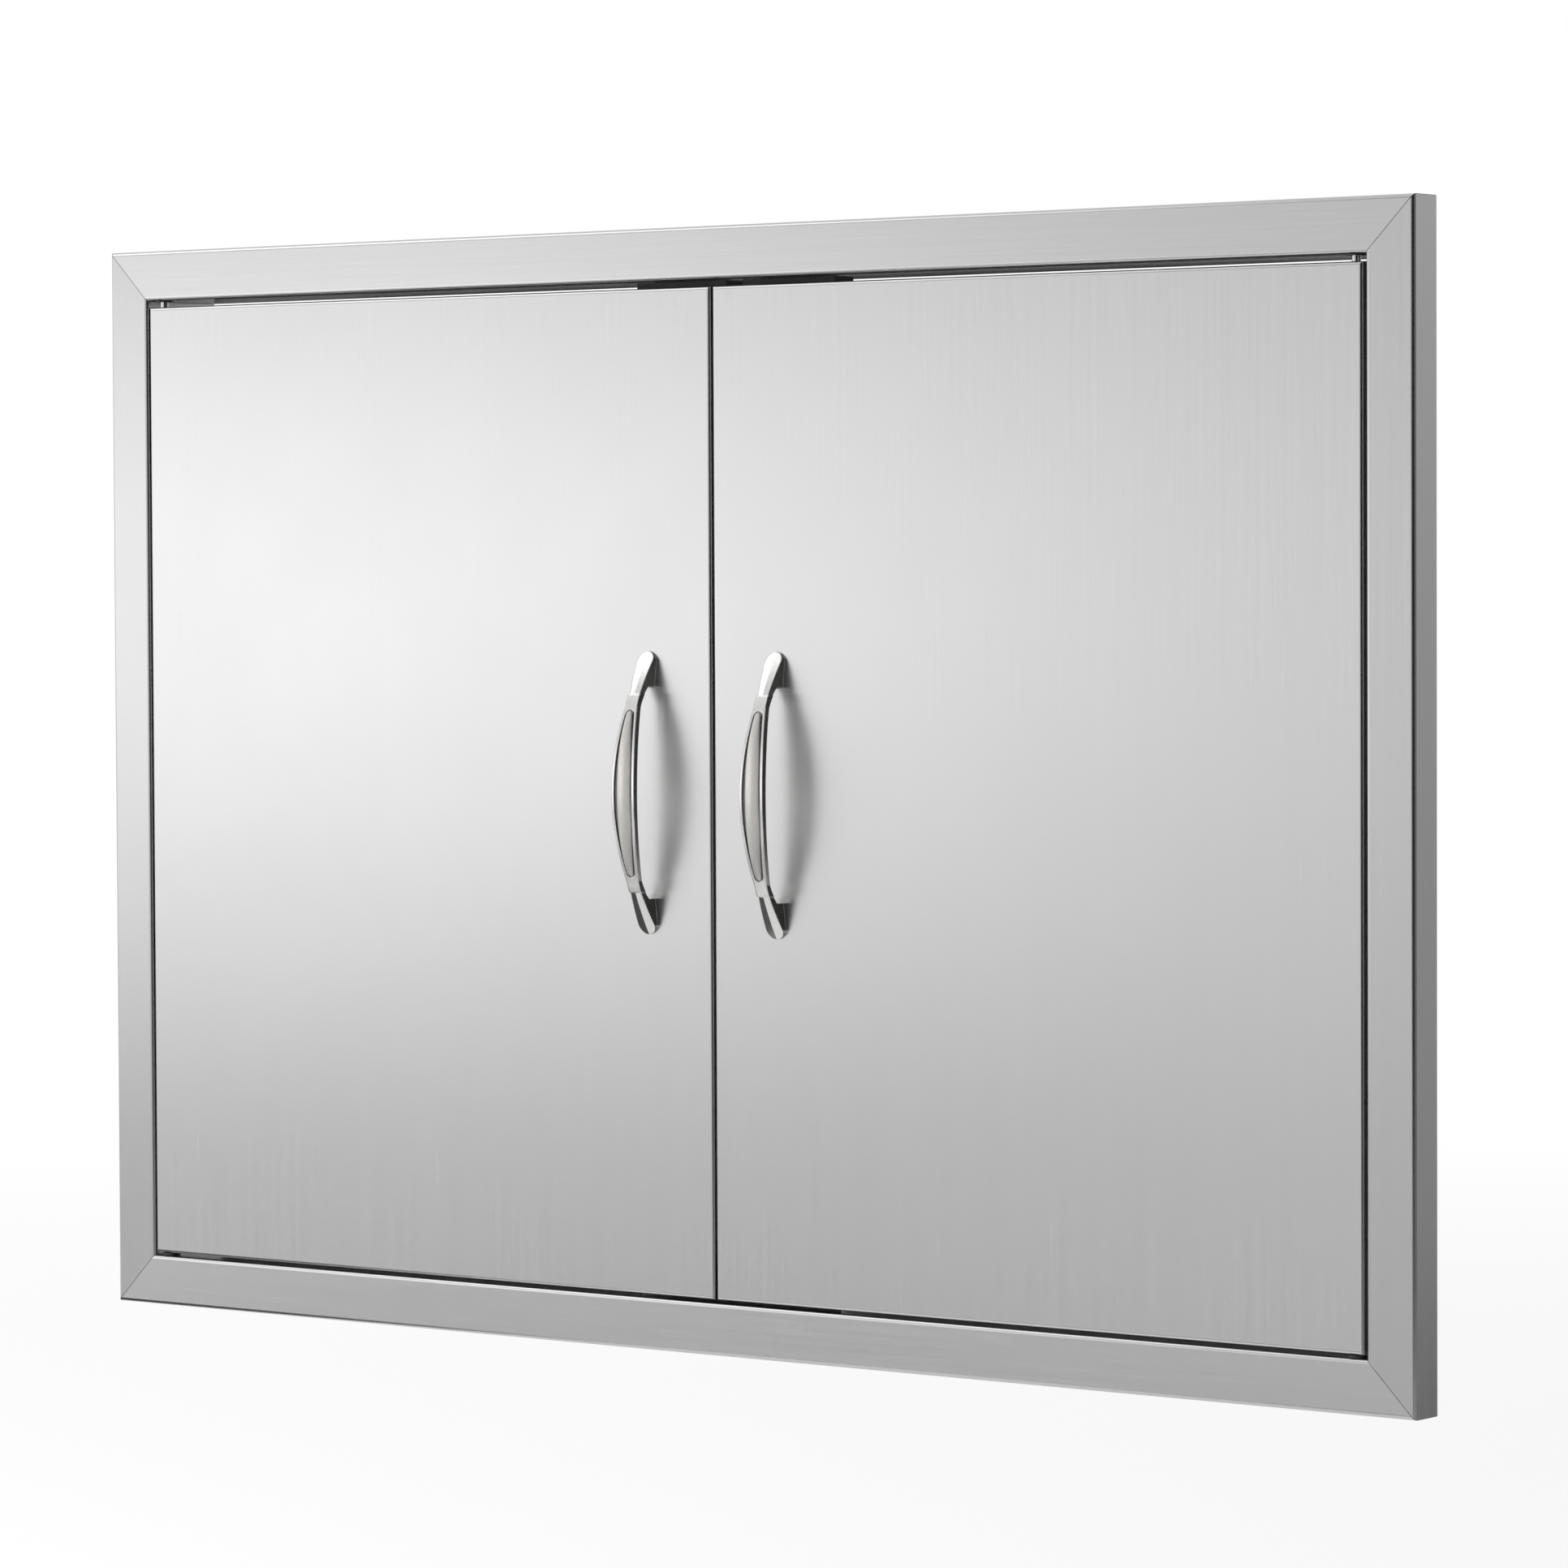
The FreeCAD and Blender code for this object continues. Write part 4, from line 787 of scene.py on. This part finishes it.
@dataclass
class Card:
    """A soft-edged card that only shiny surfaces see: it dims what is behind, or glows.

    half is half its width and height in metres, faces the way that it looks, tint the
    share of light that it lets through at its middle, glow the light that it adds
    there, and fade how far in from its rim it has its full strength, 1 at the middle.
    """

    name: str
    middle: Triple
    half: tuple[float, float]
    faces: Triple
    tint: float = 1.0
    glow: float = 0.0
    fade: float = 1.0

    def mesh(self) -> bpy.types.Object:
        """Makes the card's sheet, whose UV map runs from -1 to 1 both ways.

        Returns:
            The object, at the origin.
        """
        middle = Vector(self.middle)
        normal = Vector(self.faces).normalized()
        flat = abs(normal.z) >= 1
        side = Vector((1, 0, 0)) if flat else Vector((-normal.y, normal.x, 0))
        side.normalize()
        up = normal.cross(side)
        places = ((-1, -1), (1, -1), (1, 1), (-1, 1))
        corners = [
            middle + side * u * self.half[0] + up * v * self.half[1] for u, v in places
        ]
        card = sheet(self.name, corners)
        layer = card.data.uv_layers.new(name="spread")
        for loop, place in zip(layer.data, places):
            loop.uv = place
        return card

    def build(self) -> None:
        """Stands the card up."""
        card = self.mesh()
        card.visible_camera = False
        card.visible_shadow = False
        card.visible_diffuse = False
        paint = blank_material(self.name)
        tree = paint.node_tree
        spread = add_node(tree, "ShaderNodeUVMap", uv_map="spread")
        cone = add_node(
            tree,
            "ShaderNodeTexGradient",
            {"Vector": spread.outputs["UV"]},
            gradient_type="SPHERICAL",
        )
        mask = add_node(
            tree,
            "ShaderNodeMapRange",
            {"Value": cone.outputs["Fac"], "From Max": self.fade},
            interpolation_type="SMOOTHSTEP",
        ).outputs["Result"]
        tint = add_node(
            tree,
            "ShaderNodeMapRange",
            {"Value": mask, "To Min": 1.0, "To Max": self.tint},
        ).outputs["Result"]
        glow = add_node(
            tree, "ShaderNodeMath", {0: mask, 1: self.glow}, operation="MULTIPLY"
        ).outputs[0]
        through = add_node(tree, "ShaderNodeBsdfTransparent", {"Color": tint})
        shine = add_node(tree, "ShaderNodeEmission", {"Strength": glow})
        both = add_node(
            tree, "ShaderNodeAddShader", {0: through.outputs[0], 1: shine.outputs[0]}
        )
        add_node(tree, "ShaderNodeOutputMaterial", {"Surface": both.outputs[0]})
        card.data.materials.append(paint)


@dataclass
class Lamp:
    """A soft rectangular lamp that faces the object. Shiny surfaces don't see it."""

    name: str
    place: Triple
    size: tuple[float, float]
    watts: float

    def build(self) -> None:
        """Hangs the lamp."""
        light = bpy.data.lights.new(self.name, "AREA")
        light.shape = "RECTANGLE"
        light.size, light.size_y = self.size
        light.energy = self.watts
        lamp = bpy.data.objects.new(self.name, light)
        lamp.location = self.place
        lamp.rotation_euler = (-Vector(self.place)).to_track_quat("-Z", "Y").to_euler()
        lamp.visible_camera = False
        lamp.visible_glossy = False
        bpy.context.scene.collection.objects.link(lamp)


# Ways that cards face
UP = (0.0, 0.0, 1.0)
FRONT = (0.0, -1.0, 0.0)
LEFT = (-1.0, 0.0, 0.0)

CARDS = (
    # at the front left, which the doors' faces reflect
    Card(
        "card_key",
        (-1.25, -1.05, 0.085),
        (1.05, 0.475),
        (0.77, 0.64, 0.0),
        glow=1.06,
    ),
    # beside the camera, at the right and above
    Card(
        "card_camera_side",
        (2.0, -1.9, 0.1),
        (1.9, 2.2),
        (-0.7, 0.72, 0.0),
        tint=0.01,
        fade=0.2,
    ),
    Card("card_right", (2.6, 0.1, 0.1), (2.0, 2.0), LEFT, tint=0.22, fade=0.25),
    Card(
        "card_above",
        (0.2, -1.5, 1.9),
        (1.1, 1.0),
        (0.2, 0.6, -0.8),
        tint=0.12,
        fade=0.3,
    ),
    # flat, just over the floor
    Card("card_low", (-1.6, -2.0, -0.5), (3.0, 2.2), UP, tint=0.7, fade=0.8),
    Card("card_floor_left", (-0.85, -0.24, -0.56), (0.5, 0.4), UP, tint=0.08, fade=0.4),
    Card("card_floor_right", (0.3, -0.95, -0.57), (0.8, 0.6), UP, tint=0.2, fade=0.5),
    # low at the front left, under the key
    Card(
        "card_band",
        (-0.72, -0.69, -0.54),
        (0.9, 0.24),
        (0.62, 0.79, 0.0),
        tint=0.68,
        fade=0.5,
    ),
    # inside, behind the gap over the doors: a dark card that paints shade into what the
    # metal in the gap reflects
    Card(
        "painted_shade_card_behind_gap", (0.0, 0.05, 0.232), (0.36, 0.012), FRONT, tint=0.05, fade=0.1
    ),
    # high at the front left, for the doors' top bend
    Card(
        "card_top_bend",
        (-1.3, -0.75, 1.45),
        (0.75, 0.6),
        (0.61, 0.35, -0.71),
        glow=1.1,
        fade=0.5,
    ),
    # at the left, and above in front
    Card(
        "card_high_left",
        (-1.38, -0.72, 1.04),
        (0.45, 0.45),
        (0.75, 0.38, -0.54),
        glow=0.55,
        fade=0.6,
    ),
    Card("card_strip", (-1.4, -0.5, 0.4), (0.3, 0.6), (0.94, 0.34, 0.0), glow=0.7),
    Card(
        "card_high_right",
        (0.1, -1.5, 1.0),
        (1.0, 0.6),
        (0.0, 0.83, -0.55),
        tint=0.1,
        fade=0.5,
    ),
    # behind the object, for the views from there
    Card("card_floor_behind", (1.6, 1.6, -0.58), (1.1, 1.3), UP, tint=0.2, fade=0.6),
    Card(
        "card_behind_right",
        (2.2, 2.33, -0.75),
        (1.6, 2.2),
        (-0.6, -0.8, 0.0),
        tint=0.27,
    ),
    Card(
        "card_behind_left",
        (-1.9, 2.4, 0.0),
        (1.6, 1.6),
        (0.6, -0.8, 0.0),
        tint=0.02,
        fade=0.5,
    ),
)

LAMPS = (
    Lamp("key_left", (-2.6, -2.2, 1.5), (1.6, 1.2), 60.0),
    Lamp("top", (0.3, -0.6, 2.6), (2.4, 1.2), 25.0),
)


@dataclass
class Studio:
    """White surroundings, a pale floor, soft lamps, and cards for the metal to reflect.

    The floor's lift is near_lift within shadow_reach of the object, and grows to
    far_lift at horizon_reach. ambient is how bright the surroundings are for matt
    surfaces.
    """

    floor_z: float = -0.62
    floor_half: float = 14.0
    floor_paint: str = "#E8E8E8"
    shadow_reach: float = 1.4
    horizon_reach: float = 6.0
    near_lift: float = 0.16
    far_lift: float = 0.44
    ambient: float = 0.72
    cards: tuple[Card, ...] = CARDS
    lamps: tuple[Lamp, ...] = LAMPS

    def world(self) -> None:
        """Makes the white surroundings, dimmer for matt surfaces."""
        world = bpy.data.worlds.new("white_surroundings")
        bpy.context.scene.world = world
        world.use_nodes = True
        tree = world.node_tree
        tree.nodes.clear()
        shown = add_node(
            tree,
            "ShaderNodeMapRange",
            {"Value": seen_directly(tree), "To Min": self.ambient, "To Max": 1.0},
        )
        sky = add_node(
            tree,
            "ShaderNodeBackground",
            {"Color": (1.0, 1.0, 1.0, 1.0), "Strength": shown.outputs["Result"]},
        )
        add_node(tree, "ShaderNodeOutputWorld", {"Surface": sky.outputs[0]})

    def floor(self) -> None:
        """Lays the pale floor, lifted towards white with distance where it is seen."""
        half = self.floor_half
        places = ((-half, -half), (half, -half), (half, half), (-half, half))
        floor = sheet("floor", [Vector((x, y, self.floor_z)) for x, y in places])
        paint = blank_material("floor_matt_white")
        tree = paint.node_tree
        away = add_node(
            tree,
            "ShaderNodeVectorMath",
            {0: add_node(tree, "ShaderNodeTexCoord").outputs["Object"]},
            operation="LENGTH",
        )
        by_distance = add_node(
            tree,
            "ShaderNodeMapRange",
            {
                "Value": away.outputs["Value"],
                "From Min": self.shadow_reach,
                "From Max": self.horizon_reach,
                "To Min": self.near_lift,
                "To Max": self.far_lift,
            },
        )
        lift = add_node(
            tree,
            "ShaderNodeMath",
            {0: seen_directly(tree), 1: by_distance.outputs["Result"]},
            operation="MULTIPLY",
        )
        matt = add_node(
            tree, "ShaderNodeBsdfDiffuse", {"Color": linear(self.floor_paint)}
        )
        glow = add_node(tree, "ShaderNodeEmission", {"Strength": lift.outputs[0]})
        both = add_node(
            tree, "ShaderNodeAddShader", {0: matt.outputs[0], 1: glow.outputs[0]}
        )
        add_node(tree, "ShaderNodeOutputMaterial", {"Surface": both.outputs[0]})
        floor.data.materials.append(paint)

    def build(self) -> None:
        """Builds the studio."""
        self.world()
        self.floor()
        for part in (*self.cards, *self.lamps):
            part.build()


@dataclass
class PhotoCamera:
    """The camera at the photograph's viewing angle, with the axes it was solved to."""

    lens_mm: float = 144.79
    sensor_mm: float = 36.0
    far_end: float = 60.0
    place: Triple = (1.83942, -2.35092, 0.10747)
    right: Triple = (0.79204914, 0.61044104, -0.00446093)
    up: Triple = (-0.01775342, 0.03033832, 0.99938201)
    back: Triple = (0.61019913, -0.79148046, 0.03486685)

    def build(self) -> None:
        """Makes the camera and the plain colour view."""
        lens = bpy.data.cameras.new("photo_camera")
        lens.lens = self.lens_mm
        lens.sensor_width = self.sensor_mm
        lens.clip_end = self.far_end
        camera = bpy.data.objects.new("photo_camera", lens)
        turn = Matrix((self.right, self.up, self.back)).transposed().to_4x4()
        camera.matrix_world = Matrix.Translation(self.place) @ turn
        bpy.context.scene.collection.objects.link(camera)
        bpy.context.scene.camera = camera
        bpy.context.scene.view_settings.view_transform = "Standard"


def main() -> None:
    """Dresses every sub-assembly and builds the studio and camera."""
    finishes = Finishes()
    TrimFrame().dress(finishes)
    for side in SIDES:
        Door(side).dress(finishes)
        Pivots(side).dress(finishes)
    Catches().dress(finishes)
    Studio().build()
    PhotoCamera().build()


if __name__ == "__main__":
    main()
